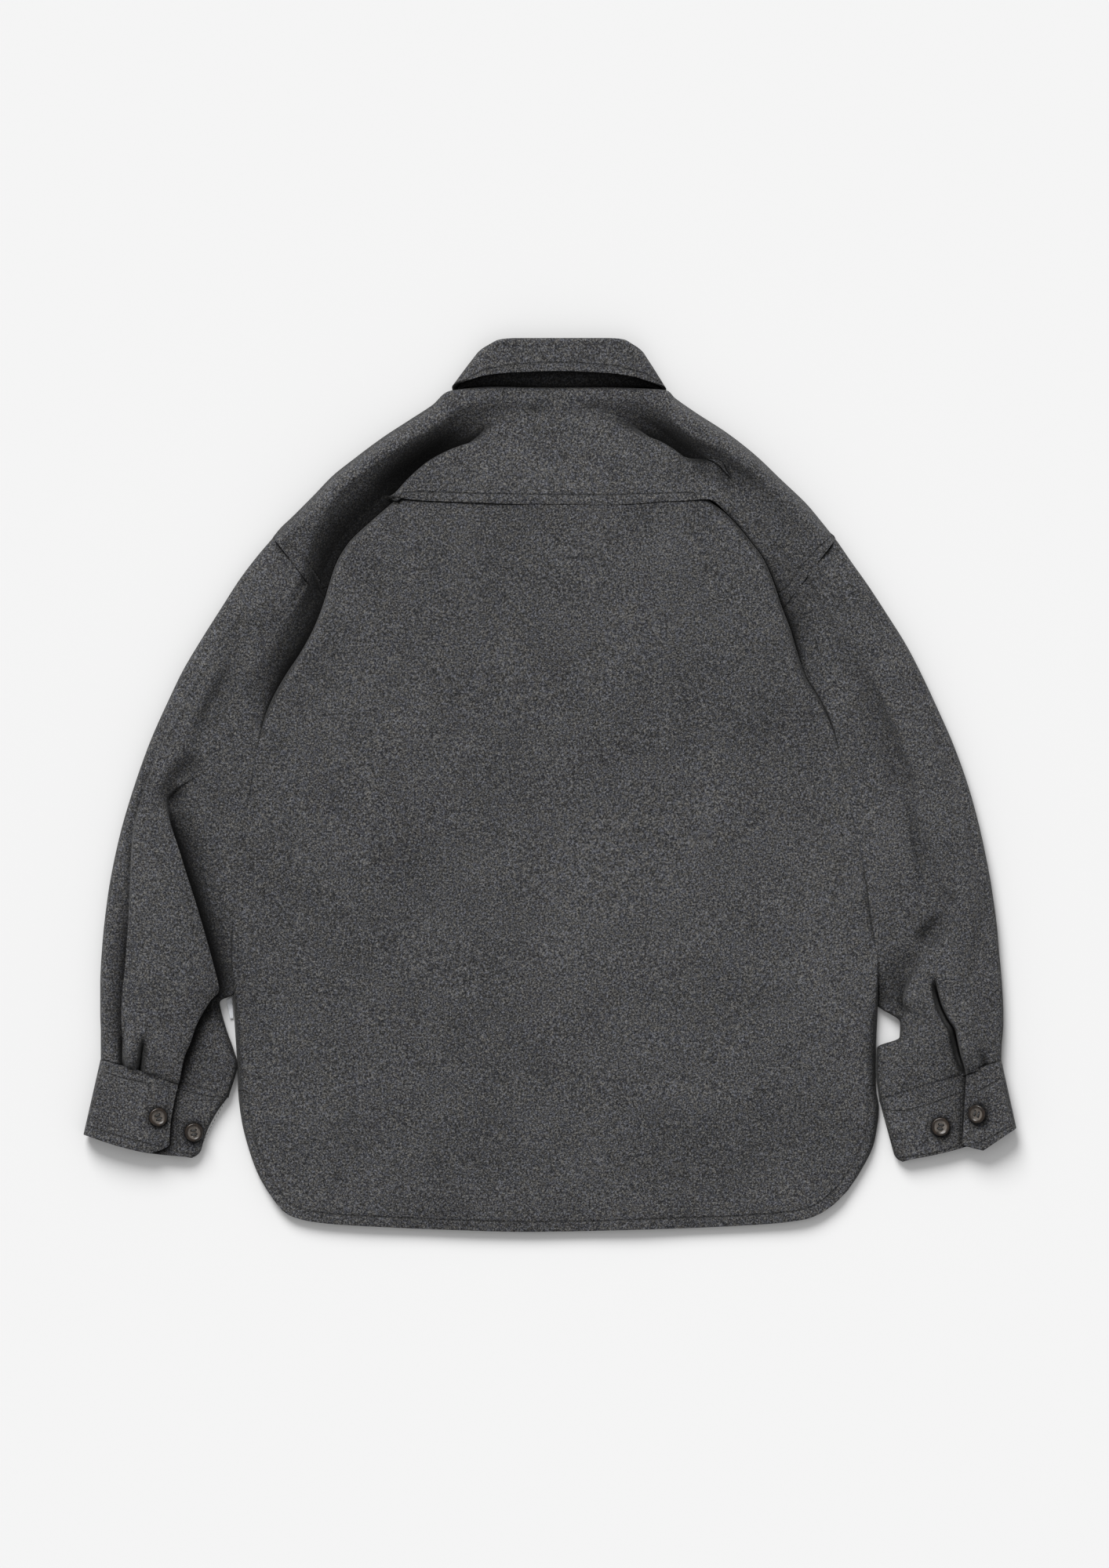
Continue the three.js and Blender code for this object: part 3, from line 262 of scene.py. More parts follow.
def through(xs, ys, x):
    """The height of a smooth curve through points at any places x."""
    xs = np.asarray(xs, float)
    ys = np.asarray(ys, float)
    secant = np.diff(ys) / np.diff(xs)
    product = secant[:-1] * secant[1:]
    total = np.where(product > 0, secant[:-1] + secant[1:], 1)
    slope = np.concatenate([secant[:1], np.where(product > 0, 2 * product / total, 0), secant[-1:]])
    x = np.clip(x, xs[0], xs[-1])
    i = np.clip(np.searchsorted(xs, x, side="right") - 1, 0, len(xs) - 2)
    h = xs[i + 1] - xs[i]
    t = (x - xs[i]) / h
    low = ys[i] * (2 * t**3 - 3 * t**2 + 1) + h * slope[i] * (t**3 - 2 * t**2 + t)
    return low + ys[i + 1] * (3 * t**2 - 2 * t**3) + h * slope[i + 1] * (t**3 - t**2)


def places(steps):
    """Fractional row numbers, with the given number of steps in each interval."""
    out = []
    for i, count in enumerate(steps):
        out += [i + k / count for k in range(count)]
    return np.array(out + [len(steps)], float)


def refine(grid, along, across, wrap=False):
    """Makes a coarse grid of points fine. wrap joins its last column to its first."""
    grid = monotone(grid, places(along)).swapaxes(0, 1)
    if not wrap:
        return monotone(grid, places(across)).swapaxes(0, 1)
    padded = np.concatenate([grid[-2:], grid, grid[:3]])
    return monotone(padded, places(across)[:-1] + 2).swapaxes(0, 1)


def ease(t):
    t = np.clip(t, 0, 1)
    return t * t * (3 - 2 * t)


def mix(a, b, t):
    return a + (b - a) * t


def mix_point(a, b, t):
    return [a[0] + (b[0] - a[0]) * t, a[1] + (b[1] - a[1]) * t]


# %% [markdown]
# ## Creases
#
# Cloth that lies loose has soft troughs and ridges besides its main folds. Each one here is a line on the
# floor plan with a depth and a width. A point of cloth near the line sinks or rises by a bell curve of its
# distance, and the line fades in and out along its length, because no real crease starts at full depth.
# `unevenness` adds slow waves in random directions from a fixed seed.


# %% Creases as lines with a depth
WAVE_LENGTHS = (190, 140, 100, 72, 50)
WAVE_FALL = 0.7


def line_distance(x, y, line):
    """The distance of each point from a bent line, and how far along it the nearest place is, from 0 to 1."""
    line = np.asarray(line, float)
    lengths = np.hypot(*np.diff(line, axis=0).T)
    before = np.concatenate([[0], np.cumsum(lengths)])
    best = np.full(np.shape(x), np.inf)
    share = np.zeros(np.shape(x))
    for (x0, y0), (x1, y1), start, length in zip(line[:-1], line[1:], before, lengths):
        dx, dy = x1 - x0, y1 - y0
        t = np.clip(((x - x0) * dx + (y - y0) * dy) / (length * length), 0, 1)
        off = np.hypot(x - x0 - t * dx, y - y0 - t * dy)
        nearer = off < best
        best = np.where(nearer, off, best)
        share = np.where(nearer, (start + t * length) / before[-1], share)
    return best, share


def crease_height(x, y, creases):
    """The sum of all creases. Column: height, width, fade in and out as shares of the length, line."""
    total = np.zeros(np.shape(x))
    for height, width, fade_in, fade_out, line in creases:
        off, share = line_distance(x, y, line)
        fade = ease(share / max(fade_in, 1e-3)) * ease((1 - share) / max(fade_out, 1e-3))
        total += height * fade * np.exp(-((off / width) ** 2))
    return total


def unevenness(x, y, height, seed):
    """Slow waves in several directions, as cloth never lies quite flat."""
    rng = np.random.default_rng(seed)
    total = np.zeros(np.shape(x))
    for length in WAVE_LENGTHS:
        for _ in range(2):
            turn, start = rng.uniform(0, 2 * math.pi, 2)
            reach = x * math.cos(turn) + y * math.sin(turn)
            share = (length / WAVE_LENGTHS[0]) ** WAVE_FALL
            total += height * share * np.sin(2 * math.pi * reach / length + start) / 3
    return total


# %% [markdown]
# ## A shell of cloth
#
# Cloth has two faces and a cut edge. `shell` takes the grid of its outer face, moves a copy inwards by the
# cloth's thickness, joins the two all round, and rounds the cut edges a little with a bevel, as felted wool
# has no sharp corner. The result is one closed mesh.

# %% Shells
CLOTH = 2.2
EDGE_ROUND = 0.7
FAR_FROM_STITCHES = 100.0


def grid_normals(grid, wrap, outwards):
    along = np.gradient(grid, axis=0)
    if wrap:
        across = (np.roll(grid, -1, axis=1) - np.roll(grid, 1, axis=1)) / 2
    else:
        across = np.gradient(grid, axis=1)
    normal = np.cross(along, across)
    normal /= np.maximum(np.linalg.norm(normal, axis=2, keepdims=True), 1e-9)
    if outwards == "up":
        return normal * (1 if normal[..., 2].mean() > 0 else -1)
    middle = grid.mean(axis=1, keepdims=True)
    return normal * (1 if ((grid - middle) * normal).sum() > 0 else -1)


def finish_mesh(name, mesh, material):
    """Links a mesh as a smooth piece. No part of it is near a stitched line until its piece is marked."""
    if "seam" not in mesh.attributes:
        far = np.full(len(mesh.vertices), FAR_FROM_STITCHES)
        mesh.attributes.new("seam", "FLOAT", "POINT").data.foreach_set("value", far)
    mesh.materials.clear()
    mesh.materials.append(material)
    for polygon in mesh.polygons:
        polygon.use_smooth = True
    piece = bpy.data.objects.new(name, mesh)
    bpy.context.collection.objects.link(piece)
    return piece


def shell(
    name, outer, thick=CLOTH, wrap=False, outwards="up", inner=None, material=WOOL, round_edge=EDGE_ROUND
):
    """One closed piece of cloth from the grid of its outer face, in millimetres."""
    if inner is None:
        inner = outer - grid_normals(outer, wrap, outwards) * thick
    rows, columns = outer.shape[:2]
    points = np.concatenate([outer.reshape(-1, 3), inner.reshape(-1, 3)]) * MM
    index = np.arange(rows * columns).reshape(rows, columns)
    if wrap:
        index = np.concatenate([index, index[:, :1]], axis=1)
    other = index + rows * columns
    a, b, c, d = index[:-1, :-1], index[:-1, 1:], index[1:, 1:], index[1:, :-1]
    faces = [np.stack([a, b, c, d], -1).reshape(-1, 4)]
    a, b, c, d = other[:-1, :-1], other[:-1, 1:], other[1:, 1:], other[1:, :-1]
    faces.append(np.stack([a, d, c, b], -1).reshape(-1, 4))
    edges = [(index[0], other[0], 1), (index[-1], other[-1], -1)]
    if not wrap:
        edges += [(index[:, 0], other[:, 0], -1), (index[:, -1], other[:, -1], 1)]
    cut_edges = []
    for near, far, way in edges:
        quads = np.stack([near[:-1], far[:-1], far[1:], near[1:]], -1)
        faces.append(quads if way > 0 else quads[:, ::-1])
        for line in (near, far):
            cut_edges += [frozenset(pair) for pair in zip(line[:-1].tolist(), line[1:].tolist())]
    mesh = bpy.data.meshes.new(name)
    mesh.from_pydata(points.tolist(), [], np.concatenate(faces).tolist())
    solid = bmesh.new()
    solid.from_mesh(mesh)
    bmesh.ops.recalc_face_normals(solid, faces=solid.faces)
    if solid.calc_volume(signed=True) < 0:
        bmesh.ops.reverse_faces(solid, faces=solid.faces)
    wanted = set(cut_edges)
    rim = [e for e in solid.edges if frozenset(v.index for v in e.verts) in wanted]
    bmesh.ops.bevel(
        solid,
        geom=rim,
        offset=round_edge * MM,
        segments=2,
        profile=0.5,
        affect="EDGES",
        clamp_overlap=True,
    )
    solid.to_mesh(mesh)
    solid.free()
    return finish_mesh(name, mesh, material)


def mark_stitching(piece, *loops):
    """Keeps each point's signed distance in mm to the nearest stitched loop, for the wool's groove."""
    points = np.array([v.co[:2] for v in piece.data.vertices]) / MM
    x, y = points.T
    nearest = np.full(len(points), np.inf)
    inside = np.zeros(len(points), bool)
    for loop in loops:
        ring = np.array([*loop, loop[0]], float)
        off, _ = line_distance(x, y, ring)
        nearest = np.minimum(nearest, off)
        for (x0, y0), (x1, y1) in zip(ring[:-1], ring[1:]):
            if y0 == y1:
                continue
            crosses = ((y0 > y) != (y1 > y)) & (x < x0 + (x1 - x0) * (y - y0) / (y1 - y0))
            inside ^= crosses
    signed = np.where(inside, nearest, -nearest)
    piece.data.attributes["seam"].data.foreach_set("value", signed)


def pixels(*points):
    """Points measured on the photograph, in its pixels, as millimetres on the floor plan."""
    origin_x, origin_y = FRAME_ORIGIN_PX
    return [((px - origin_x) / PIXELS_A_MM, (origin_y - py) / PIXELS_A_MM) for px, py in points]


pieces = {}


def dress(piece, *nodes, slot="wool"):
    """A finished piece stands for its plain nodes and moves with the body."""
    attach(piece, BODY)
    if nodes:
        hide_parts(*nodes)
    pieces[piece.name] = piece
    print(piece.name, len(piece.data.polygons), "faces")


# %% [markdown]
# ## The side line and the back
#
# The back is the large piece. Its cloth stands off the floor, because the garment is full of folded air, and
# it rolls over along both sides. Above the armpits that roll hangs over the yoke and the sleeves, which,
# with the wool's painted shade, makes the deep dark lines at the shoulders. Below them it comes down to the
# side seams. The surface is a Coons patch: it blends four border lines, the two side lines, the yoke seam and
# the hem.

# %% Tables of the body
# Side line of the body, from the yoke seam over the bulging fold to the armpit, then down the side seam.
# Column: x, y, height of the back beside the edge, width of the rounded edge.
SIDE_LEFT = np.array(
    [
        [-142, 264, 19.5, 7], [-163, 246, 21, 8], [-188, 222, 22, 8], [-199, 203, 22, 8],
        [-205, 185, 22, 8], [-210, 168, 22, 8], [-218, 147, 21, 9], [-230, 124, 20, 9],
        [-245, 101, 18.5, 9], [-257, 80, 17.4, 10], [-266, 60, 16.8, 10], [-272, 36, 16.2, 11],
        [-278, 4, 15.6, 12], [-284, -36, 15, 13], [-290, -80, 14, 13], [-294, -125, 13, 13],
        [-295, -165, 12.5, 13], [-294, -192, 12, 13], [-292, -226, 12, 13], [-290, -258, 11.5, 13],
        [-289, -285, 11, 13], [-286, -310, 10, 13], [-279, -338, 9, 12], [-270, -362, 8.2, 11],
        [-262, -376, 7.8, 10],
    ],
    float,
)
SIDE_RIGHT = np.array(
    [
        [145, 263, 17, 9], [165, 247, 16.4, 10], [184, 225, 16.4, 10], [197, 207, 16.6, 10],
        [206, 186, 17, 9], [214, 162, 17.6, 8], [221, 144, 18, 9], [227, 124, 17.6, 9],
        [235, 101, 17.2, 9], [249, 80, 16.6, 10], [259, 62, 16, 11], [266, 38, 15.5, 12],
        [271, 10, 15, 13], [280, -30, 14.5, 14], [290, -75, 14, 14], [297, -120, 13, 14],
        [302, -165, 12.5, 14], [302, -201, 12, 14], [301, -226, 12, 14], [300, -252, 11.5, 14],
        [300, -278, 11, 13], [303, -300, 10, 13], [299, -330, 9, 12], [286, -358, 8.2, 11],
        [274, -376, 7.8, 10],
    ],
    float,
)
YOKE_SEAM = np.array(
    [[-142, 264], [-95, 261], [-24, 259], [52, 258], [83, 259], [116, 262], [145, 263]],
    float,
)
HEM = np.array(
    [
        [-262, -376], [-251, -391], [-241, -399], [-224, -404], [-199, -407], [-97, -412],
        [-22, -414], [42, -413], [161, -409], [207, -406], [232, -403], [245, -399], [258, -391],
        [274, -376],
    ],
    float,
)
# Height down the back's middle. Column: share of the way from the yoke seam to the hem, height.
BACK_MIDDLE = np.array([[0, 20], [0.15, 19.5], [0.45, 17.5], [0.8, 13.5], [0.95, 10], [1, 7.8]], float)
SEAM_GAP = 0.4
REST_GAP = 0.3
FLAT_HEIGHT = 8
FULLNESS = 0.7


def fuller(z):
    """Cloth stands prouder than its plain solid where the garment holds air."""
    return z + FULLNESS * np.maximum(0, z - FLAT_HEIGHT)


# %% [markdown]
# ### Creases of the back
#
# The back is nearly smooth. A few faint troughs run down from the shoulder blades, and the rest is a slow
# unevenness of about half a millimetre.

# %% The back
BACK_CREASES = [
    (-2.0, 22, 0.3, 0.5, [(-77, 170), (-121, 129), (-142, 64), (-167, 27), (-192, -67)]),
    (-1.6, 24, 0.3, 0.5, [(111, 175), (128, 70), (141, -24)]),
    (-1.2, 16, 0.4, 0.4, [(-60, 235), (-40, 160), (-52, 90)]),
    (-1.0, 18, 0.4, 0.5, [(60, 230), (74, 150), (60, 60)]),
    (-1.2, 14, 0.3, 0.6, [(-225, 60), (-190, 10), (-182, -60)]),
    (-1.2, 14, 0.3, 0.6, [(215, 90), (200, 30), (207, -40)]),
    (0.9, 9, 0.2, 0.5, [(-160, 236), (-170, 190), (-186, 140)]),
    (0.9, 9, 0.2, 0.5, [(160, 236), (176, 190), (194, 140)]),
    (-0.7, 30, 0.4, 0.4, [(-150, -250), (-60, -290), (40, -270)]),
    (0.6, 30, 0.4, 0.4, [(60, -180), (150, -230), (230, -330)]),
]
TUCK_END_ROWS = (7, 11)
TUCK_LOW = 9.5
TUCK_ANGLE = 70
JOINED_DROP = 0.8
JOINED_REACH = 1.6
JOINED_ROWS = (8, 12, 16, 18)
BACK_STEPS = 7
BACK_COLUMNS = 132
BACK_WAVES = 0.5
ROLL_TURNS = 9


def side_roll(heights, reach, tuck, joined, angle, low_seam):
    """A rounded edge: how far in and how high each turn of it lies. tuck turns it under.

    joined is 1 where the sleeve's cloth carries on at the same height, and 0 where the edge is free.
    """
    low = mix(mix(low_seam, heights - JOINED_DROP, joined), TUCK_LOW, tuck)
    centre = mix(low, (heights + low) / 2, tuck)
    reach = mix(reach, JOINED_REACH, joined)
    rise = heights - centre
    inset = reach * (1 - np.cos(angle))
    return inset, centre + rise * np.sin(angle)


def coons(left, right, u, v):
    """A place on the patch between the side lines, the yoke seam and the hem."""
    length_top = np.concatenate([[0], np.cumsum(np.hypot(*np.diff(YOKE_SEAM, axis=0).T))])
    length_hem = np.concatenate([[0], np.cumsum(np.hypot(*np.diff(HEM, axis=0).T))])
    out = []
    for k in (0, 1):
        top = through(length_top, YOKE_SEAM[:, k], u * length_top[-1])
        bottom = through(length_hem, HEM[:, k], u * length_hem[-1])
        corner_top = mix(SIDE_LEFT[0, k], SIDE_RIGHT[0, k], u)
        corner_hem = mix(HEM[0, k], HEM[-1, k], u)
        sides = mix(left[:, k : k + 1], right[:, k : k + 1], u)
        out.append(sides + mix(top, bottom, v) - mix(corner_top, corner_hem, v))
    return out


def back_grid():
    at = places([BACK_STEPS] * (len(SIDE_LEFT) - 1))
    last = len(SIDE_LEFT) - 1
    left = monotone(SIDE_LEFT, at)
    right = monotone(SIDE_RIGHT, at)
    v = (at / last)[:, None]
    width = (right[:, 0] - left[:, 0])[:, None]
    middle = fuller(through(BACK_MIDDLE[:, 0], BACK_MIDDLE[:, 1], v[:, 0]))
    tuck = 1 - ease((at - TUCK_END_ROWS[0]) / (TUCK_END_ROWS[1] - TUCK_END_ROWS[0]))[:, None]
    begin, full, until, gone = JOINED_ROWS
    joined = (ease((at - begin) / (full - begin)) * ease((gone - at) / (gone - until)))[:, None]
    turns = np.linspace(1, 0, ROLL_TURNS)[None, :]
    angle = mix(-np.radians(TUCK_ANGLE) * tuck, math.pi / 2, 1 - turns)
    rolls = []
    for side in (left, right):
        height = fuller(side[:, 2:3])
        rolls.append(side_roll(height, side[:, 3:4], tuck, joined, angle, CLOTH + REST_GAP))
    shares = np.linspace(0, 1, BACK_COLUMNS)[None, 1:-1]
    u_middle = mix(rolls[0][0][:, -1:] / width, 1 - rolls[1][0][:, -1:] / width, shares)
    u = np.concatenate([rolls[0][0] / width, u_middle, 1 - rolls[1][0][:, ::-1] / width], axis=1)
    x, y = coons(left, right, u, v)
    z = np.empty_like(x)
    ends = [0, 0.16, 0.5, 0.84, 1]
    for i in range(len(at)):
        hl, hr = fuller(left[i, 2]), fuller(right[i, 2])
        heights = [hl, mix(hl, middle[i], 0.8), middle[i], mix(hr, middle[i], 0.8), hr]
        z[i, ROLL_TURNS:-ROLL_TURNS] = through(ends, heights, shares[0])
    z[:, :ROLL_TURNS] = rolls[0][1]
    z[:, -ROLL_TURNS:] = rolls[1][1][:, ::-1]
    edge = np.zeros(ROLL_TURNS)
    inside = ease(np.concatenate([edge, np.minimum(shares[0], 1 - shares[0]) * 10, edge]))
    z = z + (crease_height(x, y, BACK_CREASES) + unevenness(x, y, BACK_WAVES, 3)) * inside[None, :]
    y[0] -= SEAM_GAP
    return np.stack([x, y, z], -1)


dress(shell("back_cloth", back_grid()), "back")

# %% [markdown]
# ## The yoke
#
# The yoke runs from armhole to armhole round the neck. From the shoulder's ridge its cloth sinks into a
# valley, and from there it climbs steeply to the crest of the fold in front of the back. The table has a row
# for each section of the valley, from the left armhole over the neck to the right armhole.

# %% Table of the yoke
# Column: outer x, outer y, inner point or row of a side line, height of the neck's edge, then share of the
# way in and height of the ridge, its flank and the bank, then the height of the fold's foot, share and height
# of its crest, and height of the inner edge.
YOKE_ROWS = [
    (-257, 228, ("left", 5), 15, 0.50, 21, 0.68, 16, 0.84, 9.5, 7.5, 0.94, 7, 6.6),
    (-250, 236.5, ("left", 4), 16, 0.46, 23, 0.64, 17, 0.82, 9, 7.0, 0.93, 6.6, 6.4),
    (-239, 247, ("left", 3), 17, 0.40, 26, 0.60, 18, 0.82, 8.5, 6.6, 0.93, 6.3, 6.2),
    (-220, 266, ("left", 2), 18, 0.32, 28.5, 0.54, 18.5, 0.80, 8, 6.3, 0.92, 6.1, 6.0),
    (-200.5, 286, ("left", 1), 18.5, 0.27, 29.5, 0.50, 18.5, 0.78, 7.5, 6.2, 0.92, 6.0, 6.0),
    (-181.4, 301, ("left", 0.25), 18.5, 0.27, 29.5, 0.485, 17.8, 0.76, 7, 5.8, 0.92, 6, 6.0),
    (-175, 306, ("left", 0), 18.5, 0.27, 29.5, 0.48, 17.5, 0.74, 6.5, 5, 0.90, 28.4, 28.6),
    (-154.5, 321, (-118, 262), 18.5, 0.22, 29, 0.37, 17.5, 0.54, 7, 5, 0.637, 30.4, 29.4),
    (-131.5, 336, (-92, 261), 18, 0.19, 27.5, 0.30, 17.5, 0.42, 8, 5.6, 0.487, 29.5, 29.4),
    (-110, 350, (-64, 260), 17.5, 0.165, 25, 0.26, 17, 0.37, 9.5, 7, 0.436, 27, 29.4),
    (-93, 363.5, (-38, 259), 16.5, 0.14, 22, 0.23, 17, 0.34, 12.5, 11.5, 0.44, 23, 29.4),
    (-50, 367, (-12, 259), 15.5, 0.09, 19.4, 0.15, 18.2, 0.2, 16.4, 16.2, 0.36, 20.6, 29),
    (0, 366, (16, 258.5), 15.5, 0.08, 19.2, 0.14, 18.8, 0.2, 18.4, 18.4, 0.36, 20.4, 28.6),
    (50, 366.5, (46, 258), 15.5, 0.08, 19.2, 0.14, 18, 0.2, 16.2, 15.8, 0.36, 20.6, 28.4),
    (106, 364, (76, 259), 16.5, 0.15, 22.5, 0.26, 16, 0.34, 10.8, 9.6, 0.42, 22.5, 28),
    (115, 356.5, (102, 261), 17.5, 0.2, 25.5, 0.3, 17, 0.39, 9.5, 8, 0.46, 23.5, 27.5),
    (133.5, 343.5, (124, 262), 18, 0.25, 27, 0.36, 17.5, 0.46, 10.8, 10, 0.55, 21.5, 25.6),
    (163.5, 324, ("right", 0), 18, 0.24, 27, 0.38, 20, 0.48, 17, 17, 0.64, 20, 23.4),
    (190, 303, ("right", 1), 18, 0.22, 27.5, 0.42, 20.5, 0.66, 20, 19, 0.93, 19, 18.5),
    (212, 282, ("right", 2), 17.5, 0.22, 26.5, 0.42, 21, 0.66, 19.5, 18.5, 0.93, 18.5, 18),
    (236.5, 258.5, ("right", 3), 16.5, 0.24, 25, 0.46, 21, 0.68, 19, 17.5, 0.93, 17, 16.5),
    (249.5, 243, ("right", 4), 15.5, 0.25, 23.5, 0.46, 20.5, 0.68, 18, 16.5, 0.93, 15.5, 15),
    (263, 226, ("right", 5), 14.5, 0.26, 21.5, 0.46, 19.5, 0.68, 17, 15.5, 0.93, 14, 13.5),
]
NECK_ROWS = range(10, 15)
YOKE_STEPS_ACROSS = [2, 2, 2, 2, 5, 6, 6, 5, 3, 3, 2, 2, 3, 10]
YOKE_WAVES = 0.4
SHOULDER_ROUND = 14
# A fold higher than LIP_LOW begins to hang over its foot, and does so fully when it is LIP_RANGE higher.
LIP_LOW = 4
LIP_RANGE = 12
LIP_OVERHANG = 4.2
LIP_SLOPE = 16
LIP_ROUND = 3.5
YOKE_CREASES = [
    (-2.4, 6, 0.3, 0.5, [(138, 296), (145, 288), (152, 281)]),
    (0.9, 8, 0.4, 0.4, [(143, 286), (196, 225)]),
    (-3.4, 7, 0.3, 0.6, [(140, 292), (164, 288), (183, 275), (200, 262)]),
    (-1.0, 7, 0.3, 0.4, [(96, 268), (118, 280), (128, 300)]),
    (-0.8, 10, 0.4, 0.4, [(-60, 300), (-20, 290), (30, 300), (70, 296)]),
    (-2.2, 3.5, 0.3, 0.3, [(-20, 343), (-13, 346), (-7, 342)]),
    (-2.2, 3.5, 0.3, 0.3, [(31, 345), (38, 348), (45, 344)]),
    (0.7, 12, 0.4, 0.4, [(-205, 272), (-228, 248), (-240, 232)]),
]


def side_point(which, at):
    table = SIDE_LEFT if which == "left" else SIDE_RIGHT
    return monotone(table, np.array([float(at)]))[0]


def fold_lip(share, foot, crest, length):
    """A fold from its foot to its crest. A high one hangs over its foot like a lip."""
    high = ease((crest - foot - LIP_LOW) / LIP_RANGE)
    over = mix(-LIP_SLOPE, LIP_OVERHANG, high) / length
    soft = LIP_ROUND / length
    return [
        (share + over, foot),
        (share + mix(0.6, 1.25, high) * over, mix(foot, crest, 0.4)),
        (share + mix(0.3, 0.5, high) * over, mix(foot, crest, 0.72)),
        (share + 0.04 * over, mix(foot, crest, 0.88)),
        (share + soft * 0.6, mix(foot, crest, 0.975)),
        (share + soft * 2, crest),
    ]


def yoke_grid():
    rows = []
    for i, (*outer, inner, beside, a, za, b, zb, c, zc, foot, share, crest, end) in enumerate(YOKE_ROWS):
        neck = i in NECK_ROWS
        tucked = isinstance(inner[0], str) and inner[1] > 0
        if isinstance(inner[0], str):
            which, at = inner
            side = side_point(which, at)
            way = -1 if which == "left" else 1
            inner = (side[0] + (way * SEAM_GAP if at else 0), side[1] + SEAM_GAP * (0.5 if at else 1))
        length = math.dist(outer, inner)
        if tucked:
            start = mix(c, 1, 0.3)
            lip = [(mix(start, share, t), mix(foot, crest, t)) for t in np.linspace(0, 1, 6)]
        else:
            lip = fold_lip(share, foot, crest, length)
        low = beside if neck else CLOTH + 2 * REST_GAP
        reach = min(a, SHOULDER_ROUND / length)
        line = []
        for turn in (0, 24, 46, 64, 79):
            angle = math.radians(turn)
            place = mix_point(outer, inner, reach * (1 - math.cos(angle)))
            line.append([*place, mix(low, za, math.sin(angle))])
        for at, height in [(a, za), (b, zb), (c, zc), *lip, (1, end)]:
            line.append([*mix_point(outer, inner, at), height])
        rows.append(line)
    grid = refine(np.array(rows), [8] * (len(rows) - 1), YOKE_STEPS_ACROSS)
    x, y = grid[..., 0], grid[..., 1]
    across = np.linspace(0, 1, grid.shape[1])[None, :]
    inside = ease(across * 8) * ease((1 - across) * 12)
    grid[..., 2] += (crease_height(x, y, YOKE_CREASES) + unevenness(x, y, YOKE_WAVES, 5)) * inside
    return grid


dress(shell("yoke_cloth", yoke_grid()), "yoke")

# %% [markdown]
# ## The sleeves
#
# Each sleeve is a flattened tube. Its underside lies on the floor and its top is folded: one cloth layer
# steps down to the next along a line. A real fold turns under itself, so where the step is high its top edge
# is moved out over its foot, which gives the thin dark line of a fold, deepened by the wool's painted shade.

# %% Tables of the sleeves
# Column: outer x, outer y, row of the side line or inner point, places of the crease, the pleat and the fold
# as shares of the way in, then heights of the outer edge, crease foot and top, pleat top and foot, middle,
# fold top and foot, web and inner edge.
LEFT_SLEEVE_ROWS = [
    (-255.4, 229.4, 4.86, 0.22, 0.38, 0.66, [12, 12.6, 12.7, 13.4, 13.4, 12.6, 10, 9.6, 7, 5.4]),
    (-258.2, 226, 5.06, 0.22, 0.38, 0.66, [14, 15, 15.1, 15.8, 15.8, 14.8, 12, 11.6, 9, 7]),
    (-271, 211, 6, 0.22, 0.37, 0.65, [14, 15, 15.1, 16, 16, 15.4, 13.4, 13.1, 10, 8]),
    (-287, 190, 7, 0.22, 0.36, 0.63, [14, 15.3, 15.4, 16.4, 16.4, 15.8, 14.2, 13.9, 11, 8.4]),
    (-306, 160.5, 8, 0.21, 0.35, 0.62, [14, 15.6, 15.7, 16.8, 16.8, 15.8, 15, 14.8, 12, 8.8]),
    (-324, 132, 9, 0.2, 0.34, 0.62, [14, 15.8, 15.9, 17.2, 17.2, 16, 15.6, 15.4, 13.6, 11]),
    (-340, 105, 10, 0.19, 0.32, 0.62, [14, 16, 16.1, 17.4, 17.4, 15.6, 15.6, 15.4, 14.6, 14]),
    (-354, 76, 11, 0.17, 0.3, 0.62, [14, 16, 16.1, 17.8, 17.8, 15.8, 15.6, 15.4, 15.8, 16.2]),
    (-370, 40, 12, 0.14, 0.27, 0.6, [13.6, 15.6, 15.8, 18, 18, 15.8, 15.2, 15, 15.4, 15.8]),
    (-387, -8, 13, 0.11, 0.19, 0.31, [13, 14.8, 15.4, 17.4, 17.4, 17, 15, 12.6, 13.6, 14.8]),
    (-399, -50, 14, 0.11, 0.3, 0.49, [12.5, 13, 16, 18.3, 18.3, 19, 18, 9.5, 12, 13.8]),
    (-409, -100, 15, 0.17, 0.36, 0.69, [12.4, 13.4, 16.4, 18.8, 18.8, 19.5, 17.5, 8.5, 11.5, 12.8]),
    (-414, -142, 16, 0.185, 0.36, 0.81, [12.6, 12.9, 16.8, 18.8, 18.8, 19, 16.5, 8, 10.5, 12]),
    (-416, -170, 17, 0.18, 0.35, 0.86, [12.8, 13, 16.8, 18.8, 18.8, 18.5, 16, 7.8, 9.5, 11]),
    (-416.5, -186, (-306, -202), 0.19, 0.36, 0.9, [13, 13.3, 17, 18.8, 18.8, 18.2, 15.5, 9, 8.6, 8]),
    (-416.5, -212, (-300, -226), 0.17, 0.36, 0.75, [13, 13.3, 17, 18.8, 18.4, 18, 15.5, 10, 11, 9.5]),
    (-416, -228, (-293, -246), 0.163, 0.34, 0.66, [13, 13.5, 17.2, 18.8, 17.6, 17.8, 15.5, 10.3, 11.5, 10]),
    (-416, -241, (-289.5, -260), 0.16, 0.32, 0.6, [13, 14, 17.4, 18.8, 17.4, 17.5, 15.5, 10.4, 11.5, 10]),
    (-416, -253.4, (-297, -286.6), 0.168, 0.31, 0.61,
     [13.6, 13.6, 14.8, 14.9, 14.6, 14.6, 14.2, 10.2, 10.2, 9.8]),
    (-416.6, -256.6, (-297.8, -290), 0.168, 0.31, 0.61,
     [12.6, 12.6, 13.6, 13.6, 13.4, 13.4, 12.8, 9, 9, 8.8]),
]
